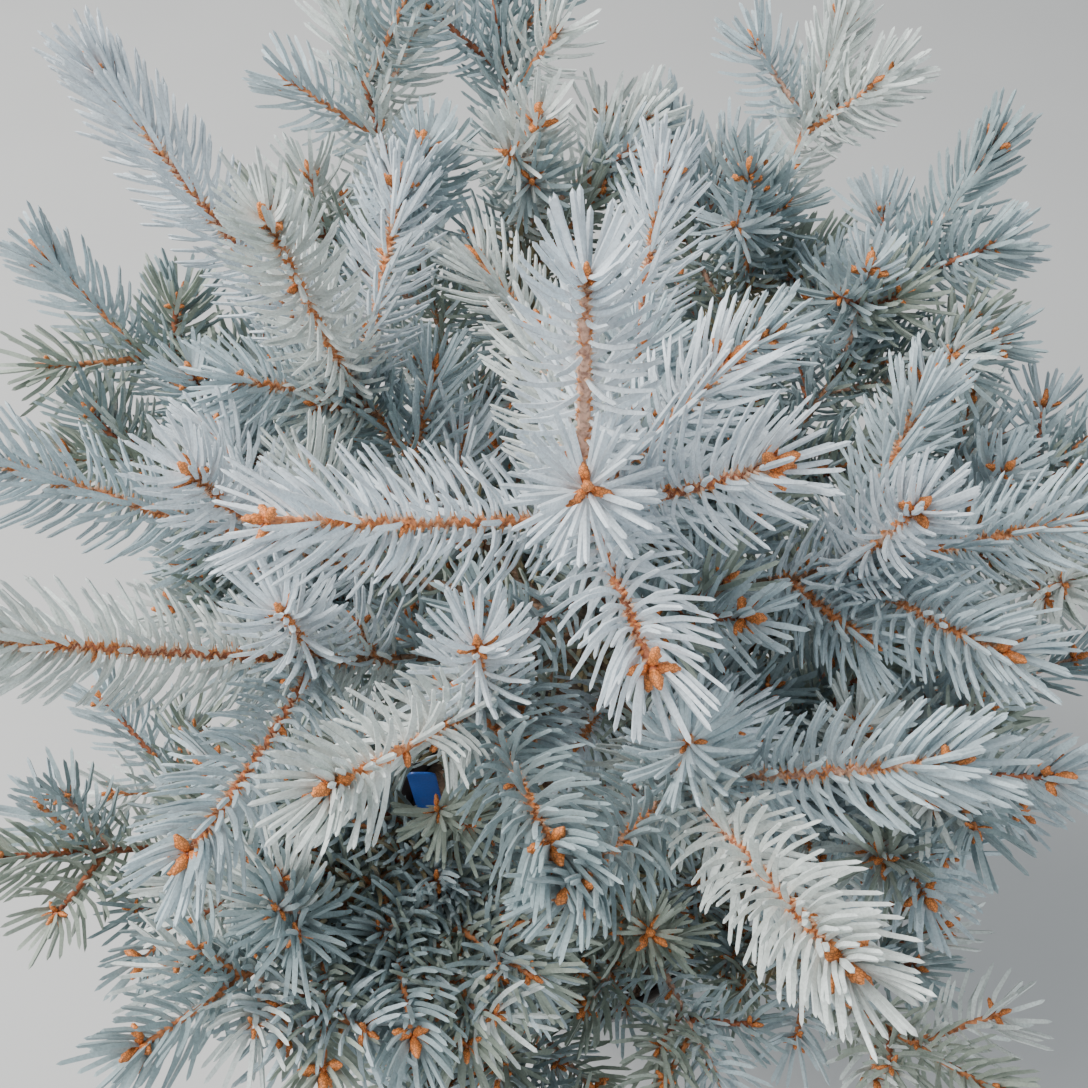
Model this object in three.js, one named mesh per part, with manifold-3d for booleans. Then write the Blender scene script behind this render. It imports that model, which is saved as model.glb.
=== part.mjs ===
// A young blue spruce in a plain round nursery pot: the pot, its soil, a trunk that runs up to the tip
// of the leader, whorls of boughs, and a mass of needled shoots on each bough and on the trunk.
// Millimetres, +Z up, origin at the centre of the pot's flat underside. A turn is an angle about the
// trunk in degrees, 0 along +X and 90 along +Y. A rise is an angle above the level.
import * as THREE from "three";
import { mergeVertices } from "three/addons/utils/BufferGeometryUtils.js";
import Module from "manifold-3d";

// Clear space left where two solids meet
const JOINT_GAP = 0.3;

// Pot
const POT_HEIGHT = 190;
const RIM_RADIUS = 115;
const FOOT_RADIUS = 86;
const POT_WALL = 2;
const POT_FLOOR = 3;
const RIM_BAND = 16;
const RIM_STEP = 3;
const POT_SEGMENTS = 48;
const DRAIN_COUNT = 8;
const DRAIN_WIDTH = 16;
const DRAIN_HEIGHT = 7;

// Soil
const SOIL_TOP = 172;
const SOIL_EDGE_DROP = 3;
const SOIL_CROWN_RADIUS = 60;

// Plant label: a plain plastic strip stood in the soil beside the trunk, with a pointed foot
const LABEL_WIDTH = 18;
const LABEL_THICKNESS = 1.2;
const LABEL_LENGTH = 120;
const LABEL_DEPTH = 34;
const LABEL_POINT = 20;
const LABEL_CORNER = 3;
const LABEL_PLACE = [-87, 22];

// Trunk: radius at heights above the soil, from the root flare to the leader's tip
const TRUNK_PROFILE = [
  [0, 17],
  [5, 14],
  [16, 12],
  [45, 10.8],
  [105, 9.4],
  [225, 7.2],
  [335, 5],
  [430, 3.3],
  [450, 2.3],
  [520, 1.8],
  [566, 1.2],
];
const TRUNK_SIDES = 10;
const TRUNK_RINGS = 15;
const TRUNK_LEAST_STEP = 3;
const TRUNK_BOW = 7;
const TRUNK_LEAN = -3;
const FLARE_HEIGHT = 16;

// Whorls of boughs from the leader's foot down. Each has its height above the soil, the years of growth
// that its boughs carry, the share of a bough that is wood before its foliage starts, the bough's radius
// at the trunk, and the turn, rise and reach of every bough in it.
const WHORLS = [
  {
    name: "crown",
    height: 440,
    years: 1,
    wood: 0,
    radius: 1.9,
    stagger: 24,
    boughs: [
      [191, 17, 111],
      [284, 14, 78],
      [352, 35, 72],
      [268, 57, 48],
      [44, 10, 76],
      [103, 13, 75],
    ],
  },
  {
    name: "upper",
    height: 335,
    years: 2,
    wood: 0.36,
    radius: 3.2,
    stagger: 48,
    boughs: [
      [194, 31, 254],
      [233, 40, 173],
      [292, 38, 213],
      [4, 17, 209],
      [79, 30, 198],
      [137, 30, 310],
      [172, 18, 256],
    ],
  },
  {
    name: "middle",
    height: 212,
    years: 3,
    wood: 0.3,
    radius: 4.4,
    stagger: 40,
    boughs: [
      [23, 29, 335],
      [49, 31, 350],
      [66, 34, 385],
      [98, 35, 385],
      [112, 37, 385],
      [146, 33, 350],
      [225, 25, 253],
      [337, 40, 245],
    ],
  },
  {
    name: "lower",
    height: 88,
    years: 3,
    wood: 0.32,
    radius: 5,
    stagger: 34,
    boughs: [
      [10, 24, 310],
      [76, 26, 330],
      [132, 27, 325],
      [197, 32, 315],
      [258, 31, 270],
      [316, 35, 300],
    ],
  },
];

// Short shoots on the trunk between the whorls: height above the soil, turn, rise, reach and years
const INNER_SHOOTS = [
  [372, 221, 8, 71, 1],
  [388, 66, 34, 66, 1],
  [366, 330, 36, 78, 1],
  [290, 313, 20, 104, 2],
  [276, 112, 24, 120, 2],
  [150, 168, 18, 160, 2],
  [146, 292, 18, 200, 2],
];
const INNER_RADIUS = 2.4;
const BOUGH_SIDES = 6;
const BOUGH_RINGS = 4;

// Growth of a bough: it leaves the trunk flatter than its tip ends, and at the end of each year but the
// last it bears side shoots, each with its roll about the bough and its share of the length ahead. Only
// those that lie level branch again. Spreads are full ranges of chance about a value.
const GOLDEN_SHARE = 0.618;
const SWEEP = 0.34;
const SIDE_SHOOTS = [
  { roll: 0, share: 0.8, branches: true },
  { roll: 180, share: 0.8, branches: true },
  { roll: 90, share: 0.62, branches: false },
];
const SIDE_ANGLE = 54;
const ANGLE_SPREAD = 12;
const ROLL_SPREAD = 24;
const SIZE_SPREAD = 0.3;
const SIDE_LIFT = 0.16;
const SHORTEST_SHOOT = 34;
const FIRST_NODE_CLEAR = 0.06;
const SEED = 20260;

// Needles: one stands on every second facet of a three-sided stem
const STEM_SIDES = 3;
const STEM_TWIST = -Math.PI / STEM_SIDES;
const STEM_RADIUS = 2.3;
const STEM_TIP_RADIUS = 1.7;
const NEEDLE_PITCH = 15;
const NEEDLE_LENGTH = 24;
const NEEDLE_ANGLE = 58;
const NEEDLE_TIP_ANGLE = 24;
const NEEDLE_TIP_SHARE = 0.6;
const NEEDLE_LEAST_SLOPE = 0.15;
const NEEDLE_LIFT = 0.22;
const NEEDLE_CHECKS = [0.55, 0.8, 1];
const BUD_LENGTH = 5;

// Spaces between masses, and from a needle to a limb that isn't its own
const SPACE_MARGIN = 1.2;
const LIMB_MARGIN = 1.5;

// Leader: a thin sleeve of needles round the top of the trunk
const LEADER_BARE = 14;
const LEADER_TIP_BARE = 5;
const LEADER_SIDES = 6;
const LEADER_WALL = 1.1;
const LEADER_PITCH = 9;

const LOOKS = {
  pot: { color: 0x1c1d1f, roughness: 0.55 },
  soil: { color: 0x3b2a1e, roughness: 1 },
  label: { color: 0x2456a8, roughness: 0.4 },
  trunk: { color: 0x6e5342, roughness: 0.9 },
  bough: { color: 0x86583a, roughness: 0.85 },
  foliage: { color: 0xa3b5b8, roughness: 0.7 },
  inner_foliage: { color: 0x7e8f85, roughness: 0.75 },
};

const UP = new THREE.Vector3(0, 0, 1);
const TRUNK_LENGTH = TRUNK_PROFILE.at(-1)[0];

const wasm = await Module();
wasm.setup();

function radians(degrees) {
  return THREE.MathUtils.degToRad(degrees);
}

// A repeatable stream of numbers from 0 to 1
function seeded(seed) {
  let state = seed >>> 0;
  return () => {
    state = (Math.imul(state, 1664525) + 1013904223) >>> 0;
    return state / 4294967296;
  };
}

// Solids

// A closed geometry as a solid that can be joined and cut
function solidOf(geometry) {
  const bare = new THREE.BufferGeometry();
  bare.setAttribute("position", geometry.getAttribute("position"));
  if (geometry.getIndex()) bare.setIndex(geometry.getIndex());
  const merged = mergeVertices(bare, 1e-4);
  const vertProperties = new Float32Array(merged.getAttribute("position").array);
  const triVerts = new Uint32Array(merged.getIndex().array);
  return new wasm.Manifold(new wasm.Mesh({ numProp: 3, vertProperties, triVerts }));
}

// The outer skin of a solid's largest body: sealed hollows are filled and loose scraps dropped
function wholeOf(solid) {
  const bodies = solid.decompose();
  return bodies.reduce((most, body) => (body.volume() > most.volume() ? body : most));
}

function geometryOf(solid) {
  const mesh = solid.getMesh();
  const geometry = new THREE.BufferGeometry();
  geometry.setAttribute("position", new THREE.BufferAttribute(mesh.vertProperties, 3));
  geometry.setIndex(new THREE.BufferAttribute(mesh.triVerts, 1));
  geometry.computeVertexNormals();
  return geometry;
}

const plant = new THREE.Group();

function addPiece(name, geometry, look) {
  const material = new THREE.MeshStandardMaterial({ ...LOOKS[look], metalness: 0 });
  const mesh = new THREE.Mesh(geometry, material);
  mesh.name = name;
  plant.add(mesh);
}

// A closed tube with a few flat sides, bent along a line of points. Each ring may be turned a little
// from the one before. The middle of its far end stands out by `nose`.
function tube(points, radii, sides, twist = 0, nose = 0) {
  const rings = points.length - 1;
  const geometry = new THREE.CylinderGeometry(1, 1, 1, sides, rings);
  geometry.deleteAttribute("normal");
  geometry.deleteAttribute("uv");
  const position = geometry.getAttribute("position");
  const level = Math.abs(points[rings].clone().sub(points[0]).normalize().z) < 0.9;
  const reference = level ? UP : new THREE.Vector3(0, 1, 0);
  for (let i = 0; i < position.count; i++) {
    const ring = Math.round((position.getY(i) + 0.5) * rings);
    const tangent = tangentAt(points, ring);
    const across = new THREE.Vector3().crossVectors(tangent, reference).normalize();
    const over = new THREE.Vector3().crossVectors(tangent, across);
    const share = Math.hypot(position.getX(i), position.getZ(i));
    const angle = Math.atan2(position.getX(i), position.getZ(i)) + ring * twist;
    const place = points[ring].clone();
    place.addScaledVector(across, share * radii[ring] * Math.cos(angle));
    place.addScaledVector(over, share * radii[ring] * Math.sin(angle));
    if (ring === rings && share < 0.5) place.addScaledVector(tangent, nose);
    position.setXYZ(i, place.x, place.y, place.z);
  }
  return mergeVertices(geometry, 1e-4);
}

function tangentAt(points, i) {
  const before = points[Math.max(i - 1, 0)];
  const after = points[Math.min(i + 1, points.length - 1)];
  return after.clone().sub(before).normalize();
}

// A solid turned about Z from a closed outline of [radius, height] points that starts and ends on the axis
function turned(outline) {
  const profile = outline.map(([radius, height]) => new THREE.Vector2(radius, height));
  const geometry = new THREE.LatheGeometry(profile, POT_SEGMENTS);
  geometry.rotateX(Math.PI / 2);
  return geometry;
}

// Pot and soil

function potOuterRadius(height) {
  const straight = (RIM_RADIUS - RIM_STEP - FOOT_RADIUS) / POT_HEIGHT;
  return FOOT_RADIUS + straight * height;
}

function potSolid() {
  const bandFoot = POT_HEIGHT - RIM_BAND;
  const body = solidOf(
    turned([
      [0, 0],
      [FOOT_RADIUS, 0],
      [potOuterRadius(bandFoot), bandFoot],
      [RIM_RADIUS, bandFoot + RIM_STEP],
      [RIM_RADIUS, POT_HEIGHT - POT_WALL],
      [RIM_RADIUS - POT_WALL / 2, POT_HEIGHT],
      [potOuterRadius(POT_HEIGHT) - POT_WALL, POT_HEIGHT],
      [potOuterRadius(POT_FLOOR) - POT_WALL, POT_FLOOR],
      [0, POT_FLOOR],
    ]),
  );
  const drain = new THREE.BoxGeometry(2 * RIM_STEP + POT_WALL, DRAIN_WIDTH, DRAIN_HEIGHT);
  const drains = Array.from({ length: DRAIN_COUNT }, (_, i) => {
    const turn = ((i + 0.5) * 2 * Math.PI) / DRAIN_COUNT;
    const cut = drain.clone();
    cut.translate(FOOT_RADIUS, 0, POT_FLOOR + DRAIN_HEIGHT / 2 + POT_WALL);
    cut.rotateZ(turn);
    return solidOf(cut);
  });
  return drains.reduce((pot, cut) => pot.subtract(cut), body);
}

function soilSolid() {
  const floor = POT_FLOOR + JOINT_GAP;
  const edge = SOIL_TOP - SOIL_EDGE_DROP;
  const clear = POT_WALL + JOINT_GAP;
  const fill = solidOf(
    turned([
      [0, floor],
      [potOuterRadius(floor) - clear, floor],
      [potOuterRadius(edge) - clear, edge],
      [SOIL_CROWN_RADIUS, SOIL_TOP],
      [0, SOIL_TOP],
    ]),
  );
  return fill.subtract(labelSolid(JOINT_GAP));
}

// The label, or with `clear` over 0 the slot that it leaves in the soil
function labelSolid(clear) {
  const half = LABEL_WIDTH / 2 + clear;
  const top = LABEL_LENGTH;
  const outline = new THREE.Shape([
    new THREE.Vector2(0, -2 * clear),
    new THREE.Vector2(half, LABEL_POINT - clear),
    new THREE.Vector2(half, top - LABEL_CORNER),
    new THREE.Vector2(half - LABEL_CORNER, top),
    new THREE.Vector2(LABEL_CORNER - half, top),
    new THREE.Vector2(-half, top - LABEL_CORNER),
    new THREE.Vector2(-half, LABEL_POINT - clear),
  ]);
  const depth = LABEL_THICKNESS + 2 * clear;
  const geometry = new THREE.ExtrudeGeometry(outline, { depth, bevelEnabled: false });
  geometry.translate(0, 0, -depth / 2);
  geometry.rotateX(Math.PI / 2);
  geometry.translate(...LABEL_PLACE, SOIL_TOP - LABEL_DEPTH);
  return solidOf(geometry);
}

// Trunk

// The trunk's centre line: upright in the root flare, then bowed a little to +X and leaning to -Y
function trunkCentre(above) {
  const share = Math.max(above - FLARE_HEIGHT, 0) / (TRUNK_LENGTH - FLARE_HEIGHT);
  const bow = TRUNK_BOW * Math.sin(Math.PI * share) ** 2;
  return new THREE.Vector3(bow, TRUNK_LEAN * share, SOIL_TOP + JOINT_GAP + above);
}

function trunkRadius(above) {
  const next = TRUNK_PROFILE.findIndex(([height]) => height >= above);
  if (next <= 0) return TRUNK_PROFILE.at(next)[1];
  const [low, lowRadius] = TRUNK_PROFILE[next - 1];
  const [high, highRadius] = TRUNK_PROFILE[next];
  return lowRadius + ((highRadius - lowRadius) * (above - low)) / (high - low);
}

// The trunk, or with `clear` over 0 the space that other pieces are cut back to
function trunkSolid(clear) {
  const steps = new Set(TRUNK_PROFILE.map(([height]) => height));
  for (let i = 0; i <= TRUNK_RINGS; i++) steps.add((i * TRUNK_LENGTH) / TRUNK_RINGS);
  const heights = [...steps].sort((a, b) => a - b);
  const spaced = heights.filter((height, i) => i === 0 || height - heights[i - 1] > TRUNK_LEAST_STEP);
  const points = spaced.map(trunkCentre);
  const radii = spaced.map((height) => trunkRadius(height) + clear);
  if (clear > 0) points.at(-1).z += clear;
  return solidOf(tube(points, radii, TRUNK_SIDES));
}

// Boughs and the masses that they bear

// Heights in a whorl are staggered, so that neighbours leave the trunk one above another
function staggered(index) {
  return ((index * GOLDEN_SHARE) % 1) - 0.5;
}

function limbOf(above, turn, rise, reach) {
  return {
    root: trunkCentre(above),
    turn: radians(turn),
    rise: radians(rise),
    reach,
  };
}

// A point on a limb's centre line, from 0 in the middle of the trunk to 1 at its tip
function limbPoint(limb, share) {
  const out = limb.reach * Math.cos(limb.rise) * share;
  const lift = limb.reach * Math.sin(limb.rise) * (share + SWEEP * (share * share - share));
  const way = new THREE.Vector3(Math.cos(limb.turn) * out, Math.sin(limb.turn) * out, lift);
  return way.add(limb.root);
}

const boughs = WHORLS.flatMap((whorl) =>
  whorl.boughs.map(([turn, rise, reach], i) => ({
    ...limbOf(whorl.height + whorl.stagger * staggered(i), turn, rise, reach),
    name: `${whorl.name}_bough_${i + 1}`,
    foliage: `${whorl.name}_foliage_${i + 1}`,
    radius: whorl.radius,
    wood: whorl.wood,
    years: whorl.years,
  })),
);

const innerShoots = INNER_SHOOTS.map(([above, turn, rise, reach, years], i) => ({
  ...limbOf(above, turn, rise, reach),
  foliage: `inner_foliage_${i + 1}`,
  radius: INNER_RADIUS,
  wood: 0,
  years,
}));

const masses = [...boughs, ...innerShoots].map((limb, i) => ({ ...limb, seed: SEED + i }));

function boughPath(limb, from, to, steps) {
  return Array.from({ length: steps + 1 }, (_, i) =>
    limbPoint(limb, from + ((to - from) * i) / steps),
  );
}

function boughSolid(limb) {
  const points = boughPath(limb, 0, limb.wood, BOUGH_RINGS);
  const radii = points.map((_, i) => limb.radius + ((STEM_RADIUS - limb.radius) * i) / BOUGH_RINGS);
  return solidOf(tube(points, radii, BOUGH_SIDES));
}

// Distances

function distanceToLine(point, line) {
  let least = Infinity;
  const nearest = new THREE.Vector3();
  for (let i = 1; i < line.length; i++) {
    new THREE.Line3(line[i - 1], line[i]).closestPointToPoint(point, true, nearest);
    least = Math.min(least, nearest.distanceTo(point));
  }
  return least;
}

const LINE_STEPS = 8;
const LIMB_STEP = 0.02;
const REACH_STEPS = 6;
const leaderLine = [trunkCentre(TRUNK_PROFILE.at(-3)[0]), trunkCentre(TRUNK_LENGTH)];
const spines = masses.map((mass) => boughPath(mass, mass.wood, 1, LINE_STEPS));
spines.push(leaderLine);
const LEADER = spines.length - 1;
const limbs = boughs
  .filter((limb) => limb.wood > 0)
  .map((limb) => ({ line: boughPath(limb, 0, limb.wood, LINE_STEPS), limb }));

// Whether a point lies in the space that is nearer to its own mass's spine than to any other
function inOwnSpace(point, own) {
  const near = distanceToLine(point, spines[own]);
  return spines.every(
    (spine, i) => i === own || distanceToLine(point, spine) > near + 2 * SPACE_MARGIN,
  );
}

function clearOfLimbs(point) {
  const above = THREE.MathUtils.clamp(point.z - SOIL_TOP, 0, TRUNK_LENGTH);
  if (point.distanceTo(trunkCentre(above)) < trunkRadius(above) + LIMB_MARGIN) return false;
  return limbs.every(({ line, limb }) => distanceToLine(point, line) > limb.radius + LIMB_MARGIN);
}

function isFree(point, own) {
  return point.z > POT_HEIGHT && inOwnSpace(point, own) && clearOfLimbs(point);
}

// Shoots and needles

// The shoots of one mass: its spine and, from the end of each year's growth, its side shoots. Each is a
// start, a direction and a length, and the spine is the limb itself.
function sideShoots(mass, own) {
  const random = seeded(mass.seed);
  const shoots = [];
  const grow = (start, forward, length, years) => {
    for (const { roll, share, branches } of SIDE_SHOOTS) {
      const size = length * share * (1 + SIZE_SPREAD * (random() - 0.5));
      const side = new THREE.Vector3().crossVectors(forward, UP).normalize();
      const top = new THREE.Vector3().crossVectors(side, forward);
      const angle = radians(roll + ROLL_SPREAD * (random() - 0.5));
      const away = side.multiplyScalar(Math.cos(angle)).addScaledVector(top, Math.sin(angle));
      const open = radians(SIDE_ANGLE + ANGLE_SPREAD * (random() - 0.5));
      const way = forward.clone().multiplyScalar(Math.cos(open));
      way.addScaledVector(away, Math.sin(open)).addScaledVector(UP, SIDE_LIFT).normalize();
      const reach = freeReach(start, way, size, own);
      if (reach < SHORTEST_SHOOT) continue;
      shoots.push({ start, way, length: reach });
      if (branches && years > 1) {
        const node = start.clone().addScaledVector(way, reach / years);
        grow(node, way, reach * (1 - 1 / years), years - 1);
      }
    }
  };
  for (let year = 1; year < mass.years; year++) {
    const share = Math.max(year / mass.years, mass.wood + FIRST_NODE_CLEAR);
    const ahead = limbPoint(mass, share + LIMB_STEP).sub(limbPoint(mass, share)).normalize();
    grow(limbPoint(mass, share), ahead, mass.reach * (1 - share), mass.years - year);
  }
  return shoots;
}

// How far a straight shoot can grow before it leaves its mass's space or meets a limb
function freeReach(start, way, length, own) {
  let free = 0;
  for (let i = 1; i <= REACH_STEPS; i++) {
    const reach = (length * i) / REACH_STEPS;
    if (!isFree(start.clone().addScaledVector(way, reach), own)) break;
    free = reach;
  }
  return free;
}

// Adds needles to a closed stem: a sharp three-sided peak on each facet whose base lies on the ring
// nearer the stem's foot. They lean towards the tip, more so the nearer they are to it.
function needled(stem, points, bare, own) {
  const position = stem.getAttribute("position");
  const places = Array.from(position.array);
  const faces = [];
  const ringOf = (vertex) => {
    const place = new THREE.Vector3().fromBufferAttribute(position, vertex);
    const spans = points.map((point, i) => Math.abs(place.clone().sub(point).dot(tangentAt(points, i))));
    return spans.indexOf(Math.min(...spans));
  };
  const ringOfVertex = Array.from({ length: position.count }, (_, vertex) => ringOf(vertex));
  const index = stem.getIndex().array;
  for (let i = 0; i < index.length; i += 3) {
    const facet = [index[i], index[i + 1], index[i + 2]];
    const onRings = facet.map((vertex) => ringOfVertex[vertex]);
    const low = Math.min(...onRings);
    const lowCount = onRings.filter((ring) => ring === low).length;
    const peak = lowCount === 2 ? needlePeak(facet, position, points, low) : null;
    const along = points[low].distanceTo(points[0]);
    if (!peak || along < bare || !needleIsFree(peak, points[low], own)) {
      faces.push(...facet);
      continue;
    }
    const tip = places.length / 3;
    places.push(peak.x, peak.y, peak.z);
    faces.push(facet[0], facet[1], tip, facet[1], facet[2], tip, facet[2], facet[0], tip);
  }
  const geometry = new THREE.BufferGeometry();
  geometry.setAttribute("position", new THREE.Float32BufferAttribute(places, 3));
  geometry.setIndex(faces);
  return geometry;
}

// Where the needle on a facet ends, or null where it would lie along the stem
function needlePeak(facet, position, points, ring) {
  const corners = facet.map((vertex) => new THREE.Vector3().fromBufferAttribute(position, vertex));
  const triangle = new THREE.Triangle(...corners);
  const middle = triangle.getMidpoint(new THREE.Vector3());
  const normal = triangle.getNormal(new THREE.Vector3());
  const forward = tangentAt(points, ring);
  const lean = THREE.MathUtils.smoothstep(ring / (points.length - 1), NEEDLE_TIP_SHARE, 1);
  const angle = radians(THREE.MathUtils.lerp(NEEDLE_ANGLE, NEEDLE_TIP_ANGLE, lean));
  const outward = normal.clone().addScaledVector(forward, -normal.dot(forward)).normalize();
  const way = forward.clone().multiplyScalar(Math.cos(angle)).addScaledVector(outward, Math.sin(angle));
  way.addScaledVector(UP, NEEDLE_LIFT * (1 - Math.abs(forward.z))).normalize();
  return way.dot(normal) > NEEDLE_LEAST_SLOPE ? middle.addScaledVector(way, NEEDLE_LENGTH) : null;
}

function needleIsFree(peak, foot, own) {
  return NEEDLE_CHECKS.every((share) => isFree(foot.clone().lerp(peak, share), own));
}

// A stem with its needles, from its line of points
function shootSolid(points, footRadius, bare, own) {
  const rings = points.length - 1;
  const radii = points.map((_, i) => footRadius + ((STEM_TIP_RADIUS - footRadius) * i) / rings);
  const stem = tube(points, radii, STEM_SIDES, STEM_TWIST, BUD_LENGTH);
  return solidOf(needled(stem, points, bare, own));
}

function ringCount(length) {
  return Math.max(3, Math.round(length / NEEDLE_PITCH));
}

function massSolid(mass, own) {
  const onTrunk = mass.wood === 0;
  const gap = onTrunk ? 0 : JOINT_GAP / mass.reach;
  const spineLength = mass.reach * (1 - mass.wood);
  const spine = boughPath(mass, mass.wood + gap, 1, ringCount(spineLength));
  const bare = onTrunk ? trunkRadius(mass.root.z - SOIL_TOP) + NEEDLE_PITCH : 0;
  const footRadius = onTrunk ? Math.min(mass.radius, STEM_RADIUS) : STEM_RADIUS;
  let solid = shootSolid(spine, footRadius, bare, own);
  for (const { start, way, length } of sideShoots(mass, own)) {
    const rings = ringCount(length);
    const line = Array.from({ length: rings + 1 }, (_, i) =>
      start.clone().addScaledVector(way, (length * i) / rings),
    );
    solid = solid.add(shootSolid(line, STEM_TIP_RADIUS, NEEDLE_PITCH, own));
  }
  return onTrunk ? solid.subtract(trunkSpace) : solid;
}

// The leader's needles stand on a thin sleeve that the trunk's top runs through
function leaderSolid() {
  const from = TRUNK_PROFILE.at(-3)[0] + LEADER_BARE;
  const to = TRUNK_LENGTH - LEADER_TIP_BARE;
  const rings = Math.round((to - from) / LEADER_PITCH);
  const heights = Array.from({ length: rings + 1 }, (_, i) => from + ((to - from) * i) / rings);
  const points = heights.map(trunkCentre);
  const radii = heights.map((above) => trunkRadius(above) + JOINT_GAP + LEADER_WALL);
  const sleeve = tube(points, radii, LEADER_SIDES, -Math.PI / LEADER_SIDES);
  const needles = needled(sleeve, points, 0, LEADER);
  return solidOf(needles).subtract(trunkSpace);
}

const trunkSpace = trunkSolid(JOINT_GAP);

addPiece("pot", geometryOf(potSolid()), "pot");
addPiece("soil", geometryOf(soilSolid()), "soil");
addPiece("label", geometryOf(labelSolid(0)), "label");
addPiece("trunk", geometryOf(trunkSolid(0)), "trunk");
for (const { limb } of limbs) {
  addPiece(limb.name, geometryOf(wholeOf(boughSolid(limb).subtract(trunkSpace))), "bough");
}
masses.forEach((mass, i) => {
  const look = mass.foliage.startsWith("inner") ? "inner_foliage" : "foliage";
  addPiece(mass.foliage, geometryOf(wholeOf(massSolid(mass, i))), look);
});
addPiece("leader_foliage", geometryOf(wholeOf(leaderSolid())), "foliage");

export default plant;
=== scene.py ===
"""The looks of a young blue spruce in a nursery pot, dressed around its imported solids.

Trunk, boughs and shoots grow by the same seeded rule as the solids, and are carried on to finer twigs,
needles and buds. Growth is worked out in millimetres, and becomes metres where a mesh is made.
"""

import bisect
import functools
import math
from collections import namedtuple

import bmesh
import bpy
import numpy as np
from mathutils import Euler, Matrix, Vector, noise


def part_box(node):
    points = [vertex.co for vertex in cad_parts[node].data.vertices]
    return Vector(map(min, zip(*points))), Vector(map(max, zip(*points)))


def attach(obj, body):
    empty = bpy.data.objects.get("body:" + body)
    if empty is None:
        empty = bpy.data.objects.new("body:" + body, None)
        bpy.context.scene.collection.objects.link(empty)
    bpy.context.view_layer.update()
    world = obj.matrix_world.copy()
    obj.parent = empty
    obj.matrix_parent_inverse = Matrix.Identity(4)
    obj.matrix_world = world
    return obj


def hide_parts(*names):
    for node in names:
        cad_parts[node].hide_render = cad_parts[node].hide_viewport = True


bl_info = {
    "name": "Potted Blue Spruce",
    "version": (1, 0, 0),
    "blender": (4, 5, 0),
    "location": "3D View > Sidebar > Spruce",
    "description": "Bark, twigs, needles and buds of a young blue spruce, with its pot, soil and label",
    "category": "Add Mesh",
}

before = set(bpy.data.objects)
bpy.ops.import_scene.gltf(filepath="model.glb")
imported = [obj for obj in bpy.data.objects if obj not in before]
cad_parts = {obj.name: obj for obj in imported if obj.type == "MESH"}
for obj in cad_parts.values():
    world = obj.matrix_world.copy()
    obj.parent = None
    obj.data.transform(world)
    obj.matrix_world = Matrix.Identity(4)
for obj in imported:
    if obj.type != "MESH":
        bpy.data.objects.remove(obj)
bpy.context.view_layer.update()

# A millimetre in metres, the way up, and the rise from which a direction counts as steep
MM = 0.001
UP = np.array([0.0, 0.0, 1.0])
STEEP = 0.9

# Sizes that the solids have. The trunk's profile is its height above the soil and its radius there
POT_HEIGHT = 190
RIM_RADIUS = 115
FOOT_RADIUS = 86
POT_WALL = 2
POT_FLOOR = 3
RIM_BAND = 16
RIM_STEP = 3
DRAIN_COUNT = 8
DRAIN_WIDTH = 16
DRAIN_HEIGHT = 7
SOIL_TOP = 172
JOINT_GAP = 0.3
TRUNK_PROFILE = np.array(
    [
        [0, 17], [5, 14], [16, 12], [45, 10.8], [105, 9.4], [225, 7.2],
        [335, 5], [430, 3.3], [450, 2.3], [520, 1.8], [566, 1.2],
    ]
)
TRUNK_LENGTH = 566
TRUNK_BOW = 7
TRUNK_LEAN = -3
FLARE_HEIGHT = 16
LEADER_FOOT = 450

# Whorls from the leader's foot down: height above the soil, years of growth, share of a bough that is
# wood, its radius at the trunk, the stagger in height, and each bough's turn, rise and reach
Whorl = namedtuple("Whorl", "name height years wood radius stagger boughs")
WHORLS = [
    Whorl(
        "crown", 440, 1, 0, 1.9, 24,
        [(191, 17, 111), (284, 14, 78), (352, 35, 72), (268, 57, 48), (44, 10, 76), (103, 13, 75)],
    ),
    Whorl(
        "upper", 335, 2, 0.36, 3.2, 48,
        [
            (194, 31, 254), (233, 40, 173), (292, 38, 213), (4, 17, 209),
            (79, 30, 198), (137, 30, 310), (172, 18, 256),
        ],
    ),
    Whorl(
        "middle", 212, 3, 0.3, 4.4, 40,
        [
            (23, 29, 335), (49, 31, 350), (66, 34, 385), (98, 35, 385),
            (112, 37, 385), (146, 33, 350), (225, 25, 253), (337, 40, 245),
        ],
    ),
    Whorl(
        "lower", 88, 3, 0.32, 5, 34,
        [(10, 24, 310), (76, 26, 330), (132, 27, 325), (197, 32, 315), (258, 31, 270), (316, 35, 300)],
    ),
]

# Shoots straight on the trunk: height above the soil, turn, rise, reach and years
INNER_SHOOTS = [
    (372, 221, 8, 71, 1),
    (388, 66, 34, 66, 1),
    (366, 330, 36, 78, 1),
    (290, 313, 20, 104, 2),
    (276, 112, 24, 120, 2),
    (150, 168, 18, 160, 2),
    (146, 292, 18, 200, 2),
]
INNER_RADIUS = 2.4

# The rule of growth: side shoots have a roll about their bough, a share of the length ahead, and
# whether they branch again
GOLDEN_SHARE = 0.618
SWEEP = 0.34
SIDE_SHOOTS = [(0, 0.8, True), (180, 0.8, True), (90, 0.62, False)]
SIDE_ANGLE = 54
ANGLE_SPREAD = 12
ROLL_SPREAD = 24
SIZE_SPREAD = 0.3
SIDE_LIFT = 0.16
SHORTEST_SHOOT = 34
FIRST_NODE_CLEAR = 0.06
SEED = 20260
STEM_RADIUS = 2.3
SPACE_MARGIN = 1.2
LIMB_MARGIN = 1.5
LINE_STEPS = 8
LIMB_STEP = 0.02
REACH_STEPS = 6

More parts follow.
